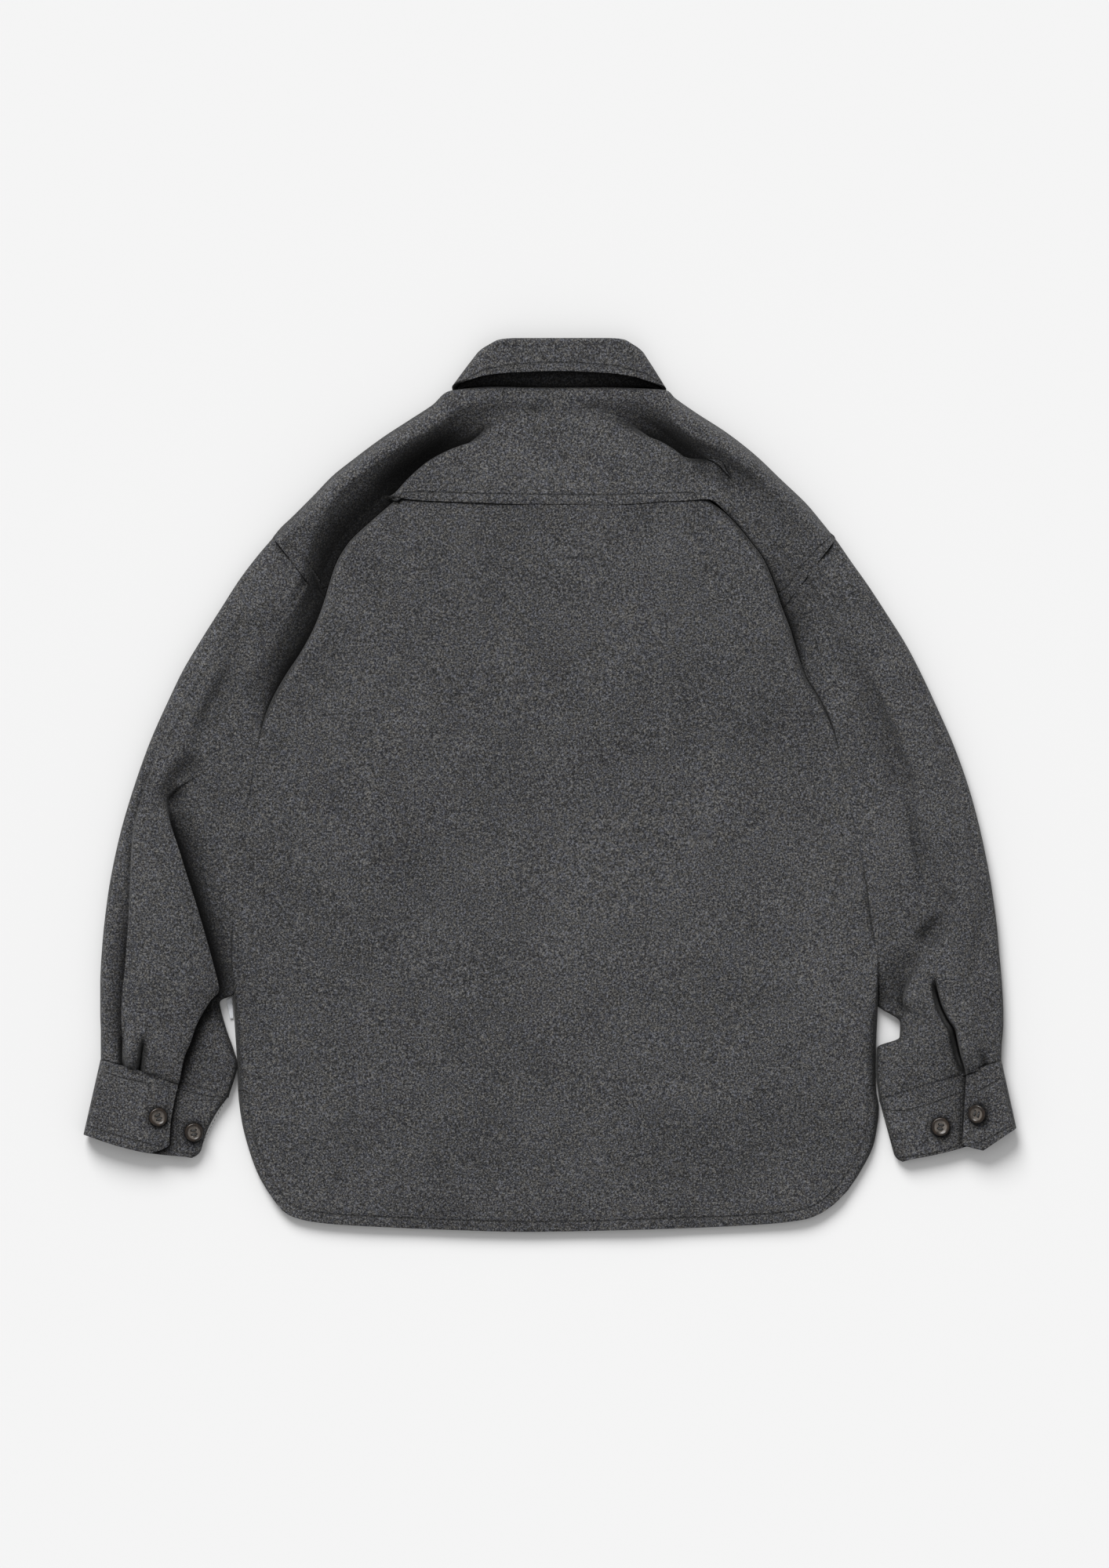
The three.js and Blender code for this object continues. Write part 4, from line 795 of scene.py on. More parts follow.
# The same on the right: places of the pleat, the cuff's slit and the lobe below the elbow, then heights of
# the outer edge, pleat, ridge, the slit's two banks, lobe, lobe top and foot, web and inner edge, then the
# slit's depth.
RIGHT_SLEEVE_ROWS = [
    (261.4, 227.8, 4.86, 0.24, 0.4, 0.6, [12, 13, 13.4, 13.4, 13, 12.6, 11.4, 11.2, 10, 9, 0]),
    (264.2, 224.6, 5.06, 0.24, 0.4, 0.6, [13.5, 15.4, 15.8, 15.8, 15.6, 15, 13.6, 13.4, 12, 11, 0]),
    (277, 206, 6, 0.24, 0.4, 0.6, [13.5, 15.4, 15.8, 15.8, 15.6, 15.2, 14, 13.8, 12.2, 10.5, 0]),
    (292, 185, 7, 0.24, 0.4, 0.6, [13.5, 15.4, 16, 16, 15.8, 15.2, 14.2, 14, 12.8, 11.4, 0]),
    (311, 156, 8, 0.23, 0.4, 0.6, [13.5, 15.6, 16.4, 16.4, 16.2, 15.4, 14.8, 14.6, 14, 13.4, 0]),
    (328.5, 128, 9, 0.22, 0.38, 0.6, [13.5, 15.8, 16.8, 17, 16.8, 15.8, 15, 14.8, 14.8, 14.4, 0]),
    (343, 100, 10, 0.2, 0.37, 0.6, [13.5, 16, 17.2, 17.4, 17.2, 15.8, 15, 14.9, 15.6, 16, 0]),
    (357, 70, 11, 0.18, 0.36, 0.58, [13.5, 16, 17.4, 17.8, 17.6, 16, 14.8, 14.7, 15.2, 15.8, 0]),
    (372, 36, 12, 0.16, 0.34, 0.56, [13.5, 16, 17.6, 18, 17.8, 16, 14.6, 14.4, 14.8, 15.3, 0]),
    (388, -10, 13, 0.15, 0.33, 0.56, [13, 15.8, 17.8, 18, 17.8, 16, 14.4, 14.1, 14.4, 15, 0]),
    (400, -58, 14, 0.14, 0.32, 0.55, [13, 15.6, 17.8, 18, 17.8, 15.8, 14.2, 13.9, 14, 14.4, 0]),
    (407, -95, 14.5, 0.13, 0.27, 0.46, [12.5, 15.2, 17.6, 17.8, 17.4, 16, 14.4, 13.6, 13.6, 14.2, 0]),
    (409.5, -112, 14.85, 0.12, 0.22, 0.36, [12.5, 14.8, 17, 17.4, 17.2, 16.6, 15.4, 14.2, 13.8, 14, 0]),
    (412, -131, 15.25, 0.13, 0.27, 0.42, [12.5, 14.2, 17, 17.4, 17.2, 16.6, 15.2, 13.4, 13, 13.6, 0]),
    (414, -155, 15.8, 0.17, 0.42, 0.6, [12.5, 14, 17.2, 17.4, 17.2, 16.6, 14.6, 12, 11.6, 12.4, 0]),
    (416, -176, 16.3, 0.19, 0.53, 0.72, [12.5, 13.6, 17.4, 17.4, 17, 16.4, 14, 10.4, 9.6, 10.6, 0]),
    (417.5, -198, 17, 0.18, 0.5, 0.78, [12.5, 13.4, 17.6, 17.8, 16.6, 15.8, 13, 8, 7, 6.5, 8]),
    (418, -212, (322.5, -220), 0.21, 0.55, 0.86,
     [12.5, 13.4, 17.8, 18, 15.6, 14.6, 13, 12.4, 11.6, 11, 10]),
    (418, -222, (322, -234), 0.2, 0.475, 0.84,
     [12.8, 13.6, 17.8, 18, 14.8, 13.8, 12.8, 12.4, 11.6, 11, 10]),
    (417.5, -230, (301, -244), 0.15, 0.372, 0.8, [13, 13.8, 17.6, 17.8, 14, 13, 12.4, 12.2, 11.6, 11, 10]),
    (416.5, -241, (300, -264), 0.13, 0.338, 0.8,
     [13.4, 14.2, 17.4, 17.4, 12.6, 12, 11.6, 11.4, 11.2, 10.8, 9]),
    (416, -254.6, (303, -290.6), 0.115, 0.3, 0.8,
     [13.6, 14.2, 15, 14.8, 10.8, 10.4, 10.2, 10.2, 10.1, 9.8, 3]),
    (416.4, -257.8, (303.4, -294), 0.115, 0.3, 0.8,
     [12.6, 13, 13.8, 13.4, 9.4, 9.2, 9.1, 9, 8.9, 8.8, 0.6]),
]
SLEEVE_WAVES = 0.35
SLEEVE_UNDER_STEPS = [3, 2, 2, 3, 5, 5, 3, 2, 2, 3]
SLEEVE_EDGE = 10
HIDDEN_EDGE = 1.6
FREE_EDGE = 6
STEP_HALF = 1.6
OVERHANG = 2.4
SLIT_BANK = 2.6
SLIT_SHADE = 5.5
LOBE_SOFT = 5
UNDER_BODY = 2.5
SLIT_FLOOR = 0.7


def step_half(drop):
    """Half the width of a step in the cloth. A high step turns under itself, so its width is negative."""
    return mix(STEP_HALF, -OVERHANG, ease((abs(drop) - 1.0) / 6.0))


def left_profile(crease, pleat, fold, heights, length):
    a = step_half(heights[2] - heights[1]) / length
    b = step_half(heights[3] - heights[4]) / length
    c = step_half(heights[6] - heights[7]) / length
    shares = [crease - a, crease + a, pleat - b, pleat + b, mix(pleat, fold, 0.55), fold - c,
              min(fold + c, 0.93), min(mix(fold, 1, 0.45), 0.94)]
    return shares, heights


def right_profile(pleat, slit, lobe, heights, length):
    *heights, depth = heights
    bank, floor = SLIT_BANK / length, SLIT_FLOOR / length
    shade = SLIT_SHADE / length
    b = mix(LOBE_SOFT, -0.5, ease((heights[6] - heights[7] - 2) / 4)) / length
    shares = [pleat, mix(pleat, slit, 0.5), slit - bank, slit - floor, slit + floor, slit + shade,
              mix(slit, lobe, 0.5), lobe - b, lobe + b, mix(lobe, 1, 0.45)]
    bottom = mix(heights[3], heights[4], 0.5) - depth
    return shares, [*heights[:4], bottom, bottom, *heights[4:]]


def sleeve_grid(rows, which, profile, creases, seed, top_steps):
    way = -1 if which == "left" else 1
    loops = []
    for x, y, inner, first, second, third, heights in rows:
        outer = (x, y)
        beside_body = not isinstance(inner, tuple)
        if beside_body:
            side = side_point(which, inner)
            inner = (side[0] - way * UNDER_BODY, side[1] - SEAM_GAP)
        length = math.dist(outer, inner)
        shares, heights = profile(first, second, third, heights, length)
        inner_edge = HIDDEN_EDGE if beside_body else FREE_EDGE
        shares = [SLEEVE_EDGE / length, *shares, 1 - inner_edge / length]
        top = [[*mix_point(outer, inner, s), fuller(h)] for s, h in zip(shares, heights)]

        def turn_edge(place, rim, turns):
            half = place[2] / 2
            for turn in turns:
                angle = math.radians(turn)
                loop.append([*mix_point(place, rim, math.cos(angle)), half + half * math.sin(angle)])

        loop = list(top)
        turn_edge(top[-1], inner, (45, 0, -45))
        loop.append([top[-1][0], top[-1][1], 0])
        loop.append([*mix_point(top[-1], top[0], 0.5), 0])
        loop.append([top[0][0], top[0][1], 0])
        turn_edge(top[0], outer, (-45, 0, 45))
        loops.append(loop)
    across = [*top_steps, *SLEEVE_UNDER_STEPS]
    grid = refine(np.array(loops), [8] * (len(loops) - 1), across, wrap=True)
    x, y = grid[..., 0], grid[..., 1]
    raised = ease((grid[..., 2] - 4) / 5)
    grid[..., 2] += (crease_height(x, y, creases) + unevenness(x, y, SLEEVE_WAVES, seed)) * raised
    return grid


# %% [markdown]
# ### Creases of the sleeves
#
# Both sleeves have a long soft trough from the shoulder to the elbow, where the arm would bend, small pleats
# that are sewn into the cuff, and a few short dents. The underside is flat, as it rests on the floor.

# %% The sleeves
LEFT_CREASES = [
    (-4.5, 11, 0.35, 0.2, [(-270, 172), (-284, 140), (-302, 95), (-318, 60), (-326, 30)]),
    (-5.5, 10, 0.3, 0.15, [(-322, 30), (-345, 2), (-357, -20)]),
    (1.2, 9, 0.3, 0.3, [(-300, 165), (-330, 110), (-350, 60), (-372, 0)]),
    (-1.2, 7, 0.4, 0.4, [(-352, -90), (-364, -112), (-370, -130)]),
    (-1.4, 9, 0.3, 0.4, [(-395, -196), (-375, -200), (-350, -190)]),
    (-4.5, 2.4, 0.5, 0.02, [(-394, -226), (-395, -240), (-395.5, -262)]),
    (-8, 2.2, 0.5, 0.02, [(-375, -228), (-377.5, -245), (-381, -270)]),
    (2.2, 5, 0.4, 0.02, [(-385, -222), (-387, -240), (-388, -262)]),
    (1.4, 5, 0.4, 0.02, [(-366, -226), (-368, -245), (-371, -268)]),
    (1.2, 5, 0.5, 0.02, [(-386, -215), (-388, -240), (-388, -259)]),
    (1.0, 6, 0.4, 0.3, [(-388, -30), (-391, -90), (-392, -170)]),
    (-0.9, 8, 0.4, 0.4, [(-372, -40), (-378, -120), (-372, -175)]),
    (-1.0, 7, 0.3, 0.3, [(-322, -190), (-312, -230), (-306, -262)]),
]
RIGHT_CREASES = [
    (-3.6, 13, 0.3, 0.2, [(268, 150), (291, 92), (308, 48), (322, 16), (340, -12), (345, -30)]),
    (-2.2, 4, 0.3, 0.3, [(328, -4), (336, -40), (340, -66), (348, -102)]),
    (-5.0, 7, 0.15, 0.8, [(339, -145), (345, -141), (358, -128), (372, -112)]),
    (-2.0, 12, 0.4, 0.4, [(335, -150), (330, -175), (322, -200)]),
    (1.3, 9, 0.3, 0.3, [(300, 168), (330, 110), (352, 60), (372, 10)]),
    (-1.0, 9, 0.4, 0.4, [(385, 10), (392, -40), (390, -85)]),
    (-2.8, 5, 0.35, 0.02, [(373, -176), (379, -206), (389, -236), (401, -262)]),
    (-2, 2.4, 0.5, 0.02, [(393, -240), (398, -252), (403, -264)]),
    (1.6, 5, 0.4, 0.02, [(378, -188), (390, -230), (396, -262)]),
    (-1.2, 7, 0.4, 0.4, [(330, -190), (326, -215), (322, -235)]),
    (1.0, 10, 0.4, 0.4, [(340, -160), (332, -190), (324, -216)]),
    (-0.8, 9, 0.4, 0.4, [(318, -262), (335, -276), (352, -270)]),
]
sleeve_left_grid = sleeve_grid(
    LEFT_SLEEVE_ROWS, "left", left_profile, LEFT_CREASES, 11, [4, 5, 14, 4, 7, 8, 5, 6, 5]
)
dress(shell("sleeve_left_cloth", sleeve_left_grid, wrap=True, outwards="out"), "sleeve_left")
sleeve_right_grid = sleeve_grid(
    RIGHT_SLEEVE_ROWS, "right", right_profile, RIGHT_CREASES, 13, [5, 6, 6, 4, 2, 4, 6, 6, 5, 6, 6]
)
dress(shell("sleeve_right_cloth", sleeve_right_grid, wrap=True, outwards="out"), "sleeve_right")

# %% [markdown]
# ## The cuffs
#
# A cuff is a straight band wrapped once round the wrist, with its two ends lapped and buttoned. Laid flat it
# is a flat spiral: a hidden end, an underside on the floor, and a top layer that ends at the lap. The path
# of the spiral is worked out for each cross-section, and `shell` gives it its thickness.

# %% The cuffs
CUFF_CLOTH = 2.8
CUFF_UNDER = 9.6
CUFF_TOP = 17.6
CUFF_END = 14.2
CUFF_EDGE = 8
UNDER_SWELL = 0.6
TOP_SLOPE = 0.8
TAB_REACH = 0.3
CUFF_DOWN = (0, 0.3, 0.6, 0.84, 0.86, 0.93, 1)
CUFF_STEPS_DOWN = [6, 6, 5, 1, 3, 3]
CUFF_STEPS_ACROSS = [6, 6, 6] + [2] * 6 + [8, 8] + [2] * 6 + [4, 7, 7, 6, 4]
# seam and free: the outer and inner ends of the cuff's two long edges. bulge: how far the free edge bows
# down. top_end: where the lap ends at each place down the cuff, as a share of the way in. under_end: the
# hidden end. corner and waist: how far the inner edge rounds off at its corner and draws in above it. tab:
# how far the lap's corner reaches below the free edge.
CUFFS = {
    "left": {
        "seam": ((-416.2, -254.6), (-297.2, -287.6)),
        "free": ((-432, -324), (-325, -346)),
        "bulge": 5,
        "top_end": (0.61, 0.65, 0.688, 0.72, 0.72, 0.67, 0.62),
        "under_end": (0.4, 0.44),
        "corner": 0.06,
        "waist": 0.04,
        "tab": 0,
        "creases": [(-0.8, 9, 0.4, 0.4, [(-400, -275), (-380, -300), (-385, -325)])],
    },
    "right": {
        "seam": ((416.2, -255.6), (303.2, -291.6)),
        "free": ((430, -318), (319, -350)),
        "bulge": 4,
        "top_end": (0.285, 0.335, 0.385, 0.43, 0.43, 0.36, 0.29),
        "under_end": (0.12, 0.14),
        "corner": 0.05,
        "waist": 0,
        "tab": 9,
        "creases": [(-0.8, 9, 0.4, 0.4, [(330, -300), (345, -320), (342, -340)])],
    },
}


def cuff_path(length, top_end, under_end):
    """The band across itself: share of the way in from the outer edge, and height of its middle."""
    half = CUFF_CLOTH / 2
    edge = CUFF_EDGE / length
    path = []
    for t in (0, 0.33, 0.67, 1):
        path.append((mix(under_end, 1 - edge, t), CUFF_UNDER + UNDER_SWELL * math.sin(math.pi * t)))

    def turn(centre, reach, high, angles):
        for degrees in angles:
            angle = math.radians(degrees)
            path.append((centre + reach * math.cos(angle), mix(half, high, (1 + math.sin(angle)) / 2)))

    turn(1 - edge, edge - half / length, CUFF_UNDER, (60, 30, 0, -30, -60, -90))
    path.extend([(0.66, half), (0.33, half)])
    turn(edge, -edge + half / length, CUFF_TOP - TOP_SLOPE, (-90, -60, -30, 0, 30, 60, 90))
    path += [(mix(edge, top_end, t), mix(CUFF_TOP, CUFF_END, t * t)) for t in (0.3, 0.6, 0.85, 1)]
    return path


def cuff_grid(cuff):
    rows = []
    for down, top_end in zip(CUFF_DOWN, cuff["top_end"]):
        outer = mix_point(cuff["seam"][0], cuff["free"][0], down)
        inner = mix_point(cuff["seam"][1], cuff["free"][1], down)
        past_corner = max(0, down - CUFF_DOWN[-3]) / (1 - CUFF_DOWN[-3])
        inwards = cuff["corner"] * past_corner**2 + cuff["waist"] * math.sin(math.pi * down)
        inner = mix_point(inner, outer, inwards)
        path = cuff_path(math.dist(outer, inner), top_end, mix(*cuff["under_end"], down))
        row = []
        for share, z in path:
            x, y = mix_point(outer, inner, share)
            sag = cuff["bulge"] * down * math.sin(math.pi * min(1, max(0, share)))
            if z > CUFF_UNDER + 2:
                sag += cuff["tab"] * down * down * min(1, max(0, share) / TAB_REACH)
            row.append([x, y - sag, z])
        rows.append(row)
    grid = refine(np.array(rows), CUFF_STEPS_DOWN, CUFF_STEPS_ACROSS)
    raised = ease((grid[..., 2] - 4) / 5)
    grid[..., 2] += crease_height(grid[..., 0], grid[..., 1], cuff["creases"]) * raised
    return grid


def band(name, middle, normals, thick):
    """A shell with its cloth on both sides of its middle surface."""
    half = normals * thick / 2
    return shell(name, middle + half, inner=middle - half)


for side, cuff in CUFFS.items():
    middle = cuff_grid(cuff)
    normals = grid_normals(middle, False, "out")
    dress(band(f"cuff_{side}_cloth", middle, normals, CUFF_CLOTH), f"cuff_{side}")

# %% [markdown]
# ## The collar
#
# The collar is a stand, which rises from the neck seam, and a leaf, which folds over the stand and covers
# it. Laid flat, the stand lies along the back, turns through the shoulder at each side and comes back along
# the front. The table follows it from the middle of the back to the middle of the front.

# %% The collar
COLLAR_MIDDLE_X = 7
COLLAR_SHEAR = 0.06
LEAF_GAP = 2
# Column: neck x, y, z, fold x, y, z of the stand's middle, leaf length, lift of its edge, fold radius, turn
# of its outer face.
COLLAR_SECTIONS = [
    [0, 366.5, 9, 0, 406.6, 13.5, 25.5, 6, 3, 0],
    [48, 366.8, 9, 43, 406.6, 13.5, 27.5, 6, 3, 0],
    [72, 367.4, 9, 59, 405.4, 13.2, 31.5, 5, 3, 6],
    [82, 367.6, 8.8, 66, 401.6, 12.6, 35, 3.5, 2.8, 26],
    [89, 366.6, 8, 71, 397, 11.2, 37, 2, 2.4, 58],
    [92.5, 364.5, 6.6, 74.5, 391.5, 8.8, 37, 1, 2.1, 90],
    [91, 360, 4.3, 73, 385, 4.4, 42, 0, 1.6, 160],
    [78, 350, 4.2, 62, 375, 4.2, 52, 0, 1.5, 178],
    [44, 328.5, 4.2, 36, 355, 4.2, 60, 0, 1.5, 180],
]
COLLAR_FRONT = [0.8, 320, 4.2, 0.8, 351, 4.2, 0, 0, 1.5, 180]
COLLAR_CLOTH = 2.2
STAND_ROWS = 9
LEAF_SWELL = 1.6


def unit(vectors):
    return vectors / np.linalg.norm(vectors, axis=-1, keepdims=True)


def collar_sections(rows, steps):
    """Neck and fold points and the directions of each fine section, from the left front to the right."""
    rows = np.array(rows, float)
    mirrored = rows.copy()
    mirrored[:, [0, 3, 9]] *= -1
    fine = monotone(np.concatenate([mirrored[::-1], rows[1:]]), places([steps] * (2 * len(rows) - 2)))
    middle = np.array([COLLAR_MIDDLE_X, 0, 0])
    neck = fine[:, 0:3] + middle
    fold = fine[:, 3:6] + middle
    fold[:, 0] += COLLAR_SHEAR * (fold[:, 1] - neck[:, 1])
    up = unit(fold - neck)
    angle = np.radians(fine[:, 9])
    out = np.stack([np.sin(angle), np.zeros(len(fine)), np.cos(angle)], -1)
    out = unit(out - up * (out * up).sum(-1, keepdims=True))
    return neck, fold, up, out, fine[:, 6:7], fine[:, 7:8], fine[:, 8:9]


def collar_stand():
    neck, fold, _, out, *_ = collar_sections(COLLAR_SECTIONS + [COLLAR_FRONT], 7)
    shares = np.linspace(0, 1, STAND_ROWS)[None, :, None]
    middle = neck[:, None] + (fold - neck)[:, None] * shares
    return band("collar_stand_cloth", middle, np.repeat(out[:, None], STAND_ROWS, axis=1), COLLAR_CLOTH)


def collar_leaf():
    _, fold, up, out, leaf, lift, radius = collar_sections(COLLAR_SECTIONS, 9)
    centre = fold + up * LEAF_GAP + out * radius
    middle = []
    normals = []
    for turn in np.linspace(-90, 90, 13):
        angle = math.radians(turn)
        direction = up * math.cos(angle) + out * math.sin(angle)
        middle.append(centre + direction * radius)
        normals.append(direction)
    for share in np.linspace(0.06, 1, 15):
        swell = LEAF_SWELL * np.maximum(out[:, 2:3], 0) * math.sin(math.pi * share)
        rise = out * (swell + lift * share * share)
        middle.append(centre + out * radius - up * share * leaf + rise)
        normals.append(out)
    return band("collar_leaf_cloth", np.stack(middle, 1), np.stack(normals, 1), COLLAR_CLOTH)


dress(collar_stand(), "collar_stand")
dress(collar_leaf(), "collar_leaf")

# %% [markdown]
# ## The fronts
#
# Both fronts lie on the floor under the back, so they are flat. They rise only where the buttons and the
# collar's points lie under them, and where one laps over the other at the placket.

# %% The fronts
FRONT_X = 7
PLACKET_HALF = 19
PLACKET_RAMP = 16
BUTTON_RADIUS = 8.5
BUTTON_THICK = 3
FRONT_BUTTON_TOP_Y = 262
FRONT_BUTTON_STEP = 92
FRONT_BUTTON_COUNT = 7
BUTTONS_ABOVE = 50
BUTTONS_BELOW = 60
BUTTON_ROOM = BUTTON_RADIUS + 5
COLLAR_LIFT = 2.7
COLLAR_POINT_Y = 262
COLLAR_POINT_X = 128
LIFT_RAMP = 14
FRONT_CLOTH = 2.4
SHOULDER_LEFT = [
    (-91.5, 358.5), (-107, 349), (-128, 335), (-150, 320), (-170, 305), (-194, 285), (-214, 265),
    (-234, 246), (-246, 236), (-255, 228),
]
SHOULDER_RIGHT = [
    (104.5, 359.5), (113, 356), (131, 343), (160, 323), (188, 302), (212, 282), (235, 258), (248, 243),
    (256, 234), (263, 226),
]
FRONT_SHARES = [0, 0.08, 0.22, 0.45, 0.72]
STRIP = [-PLACKET_HALF, -BUTTON_ROOM, 0, BUTTON_ROOM, PLACKET_HALF]
STRIP_RAMPS = {"left": [-31.5, -25], "right": [28, 36]}
NECK_Y, SHOULDER_END_Y, ARMHOLE_MIDDLE_Y, ARMHOLE_END_Y, HEM_MIDDLE_Y = 317, 235, 215, 195, -413.6
ARMHOLE_STATION = 5


def collar_lift(x, y):
    across = ease((COLLAR_POINT_X - np.abs(x - COLLAR_MIDDLE_X)) / LIFT_RAMP)
    return COLLAR_LIFT * ease((y - COLLAR_POINT_Y) / LIFT_RAMP) * across


def button_lift(x, y):
    lowest = FRONT_BUTTON_TOP_Y - FRONT_BUTTON_STEP * (FRONT_BUTTON_COUNT - 1)
    in_range = ease((FRONT_BUTTON_TOP_Y + BUTTONS_ABOVE - y) / LIFT_RAMP)
    in_range = in_range * ease((y - lowest + BUTTONS_BELOW) / LIFT_RAMP)
    reach = (BUTTON_ROOM + PLACKET_RAMP - np.abs(x - FRONT_X)) / PLACKET_RAMP
    return (BUTTON_THICK + REST_GAP) * in_range * ease(reach)


def left_low(x, y):
    return np.maximum(collar_lift(x, y), button_lift(x, y))


def right_low(x, y):
    free = collar_lift(x, y)
    stacked = left_low(x, y) + FRONT_CLOTH + REST_GAP
    share = ease((FRONT_X + PLACKET_HALF + 1 + PLACKET_RAMP - x) / PLACKET_RAMP)
    return np.maximum(mix(free, stacked, share), left_low(x, y) * share)


def front_piece(side, shoulder, side_line, low):
    way = -1 if side == "left" else 1
    last = len(shoulder) - 1
    ends = [[x, y, mix(NECK_Y, SHOULDER_END_Y, i / last)] for i, (x, y) in enumerate(shoulder)]
    bow = mix_point(shoulder[-1], side_line[ARMHOLE_STATION], 0.5)
    ends.append([bow[0] + 2 * way, bow[1] + 2, ARMHOLE_MIDDLE_Y])
    rest = side_line[ARMHOLE_STATION:]
    for i, row in enumerate(rest):
        ends.append([row[0], row[1], mix(ARMHOLE_END_Y, HEM_MIDDLE_Y, i / (len(rest) - 1))])
    ramp = STRIP_RAMPS[side]
    strip = ramp + STRIP if way < 0 else STRIP + ramp
    ramp_end = FRONT_X + (ramp[0] if way < 0 else ramp[1])
    plan = []
    for i, (x, y, inner_y) in enumerate(ends):
        panel = [mix_point((x, y), (ramp_end, inner_y), share) for share in FRONT_SHARES]
        middle = [[FRONT_X + place, inner_y] for place in strip]
        row = panel + middle if way < 0 else middle + panel[::-1]
        if i == len(ends) - 1:
            row = [[px, float(through(HEM[:, 0], HEM[:, 1], px))] for px, _ in row]
        plan.append(row)
    plan = refine(np.array(plan, float), [3] * (len(plan) - 1), [4] * (len(plan[0]) - 1))
    bottom = low(plan[..., 0], plan[..., 1])
    outer = np.concatenate([plan, bottom[..., None]], -1)
    inner = outer + [0, 0, FRONT_CLOTH]
    return shell(f"front_{side}_cloth", outer, inner=inner, round_edge=0.5)


dress(front_piece("left", SHOULDER_LEFT, SIDE_LEFT, left_low), "front_left")
dress(front_piece("right", SHOULDER_RIGHT, SIDE_RIGHT, right_low), "front_right")

# %% [markdown]
# ## The buttons
#
# The buttons are turned from dark horn: a rounded rim, a shallow dish and four holes. The profile is spun
# round its axis, and the holes are cut with a boolean, which is the plain way to make a real hole. The horn
# is darkest on the rim and clouded with grey in the dish, so the colour follows the distance from the
# button's own middle, which is kept as an attribute on the mesh.

# %% Horn and thread
def make_horn():
    horn = Graph("horn", Roughness=0.3, Specular_IOR_Level=0.4)
    place = horn.node("ShaderNodeTexCoord", output="Object")
    dish = horn.node("ShaderNodeAttribute", {"attribute_name": "dish"}, output="Fac")
    streaked = horn.node("ShaderNodeMapping", None, {"Vector": place, "Scale": (1, 0.35, 1)})
    cloud = horn.noise(streaked, 320, 3.0, 0.6)
    rim_colours = [(0.3, (0.006, 0.004, 0.003)), (0.7, (0.028, 0.017, 0.010))]
    dish_colours = [(0.3, (0.030, 0.024, 0.020)), (0.7, (0.15, 0.132, 0.116))]
    inputs = {"Factor": dish, 6: horn.ramp(rim_colours, cloud), 7: horn.ramp(dish_colours, cloud)}
    horn.feed("Base Color", horn.node("ShaderNodeMix", {"data_type": "RGBA"}, inputs, output=2))
    return horn.material


def make_thread(name, dark, light):
    thread = Graph(name, Roughness=0.8, Sheen_Weight=0.1)
    place = thread.node("ShaderNodeTexCoord", output="Object")
    twist = thread.noise(place, 1500, 1.0, 0.5)
    tones = [(0.35, (dark, dark, dark)), (0.65, (light, light, light))]
    thread.feed("Base Color", thread.ramp(tones, twist))
    thread.bump(twist, 0.4, 0.0002)
    return thread.material


HORN = make_horn()
THREAD = make_thread("thread", 0.035, 0.11)
BUTTON_THREAD = make_thread("button_thread", 0.02, 0.06)

# %% [markdown]
# A cuff button sits on its cuff at a slight tilt, given in the table. A front button faces the floor. The
# thread goes through the holes in two parallel bars of three strands.

# %% The button shape
HOLE_RADIUS = 1.05
HOLE_OFFSET = 1.95
DRILL_LENGTH = 9
THREAD_RADIUS = 0.36
THREAD_TOP = 2.75
THREAD_SIDES = 6
DISH_RADIUS = 6.4
DISH_BLEND = 1.2
# Column: distance from the middle, height.
BUTTON_PROFILE = [
    (0, 0), (6.2, 0), (7.6, 0.25), (8.3, 0.8), (8.5, 1.6), (8.3, 2.4), (7.8, 2.85), (7.2, 3), (6.5, 2.9),
    (5.8, 2.45), (5.1, 2.05), (4.2, 1.92), (0, 1.9),
]
BUTTON_SIDES = 48


def lathe(profile, sides):
    """Spins a profile round the Z axis into a closed mesh."""
    solid = bmesh.new()
    rings = []
    for radius, z in profile:
        count = sides if radius else 1
        ring = []
        for k in range(count):
            angle = 2 * math.pi * k / sides
            place = (radius * math.cos(angle), radius * math.sin(angle), z)
            ring.append(solid.verts.new([c * MM for c in place]))
        rings.append(ring)
    for a, b in zip(rings[:-1], rings[1:]):
        for k in range(sides):
            loop = [a[k % len(a)], a[(k + 1) % len(a)], b[(k + 1) % len(b)], b[k % len(b)]]
            solid.faces.new(list(dict.fromkeys(loop)))
    bmesh.ops.recalc_face_normals(solid, faces=solid.faces)
    mesh = bpy.data.meshes.new("lathe")
    solid.to_mesh(mesh)
    solid.free()
    return mesh


def button_mesh():
    """The disc with its four holes cut through."""
    disc = bpy.data.objects.new("disc", lathe(BUTTON_PROFILE, BUTTON_SIDES))
    bpy.context.collection.objects.link(disc)
    solid = bmesh.new()
    for sx in (-1, 1):
        for sy in (-1, 1):
            made = bmesh.ops.create_cone(
                solid,
                cap_ends=True,
                segments=16,
                radius1=HOLE_RADIUS * MM,
                radius2=HOLE_RADIUS * MM,
                depth=DRILL_LENGTH * MM,
            )
            middle = (sx * HOLE_OFFSET * MM, sy * HOLE_OFFSET * MM, BUTTON_THICK / 2 * MM)
            bmesh.ops.translate(solid, vec=middle, verts=made["verts"])
    drill_mesh = bpy.data.meshes.new("drill")
    solid.to_mesh(drill_mesh)
    solid.free()
    drill = bpy.data.objects.new("drill", drill_mesh)
    bpy.context.collection.objects.link(drill)
    cut = disc.modifiers.new("holes", "BOOLEAN")
    cut.operation = "DIFFERENCE"
    cut.object = drill
    mesh = bpy.data.meshes.new_from_object(disc.evaluated_get(bpy.context.evaluated_depsgraph_get()))
    bpy.data.objects.remove(disc)
    bpy.data.objects.remove(drill)
    return mesh


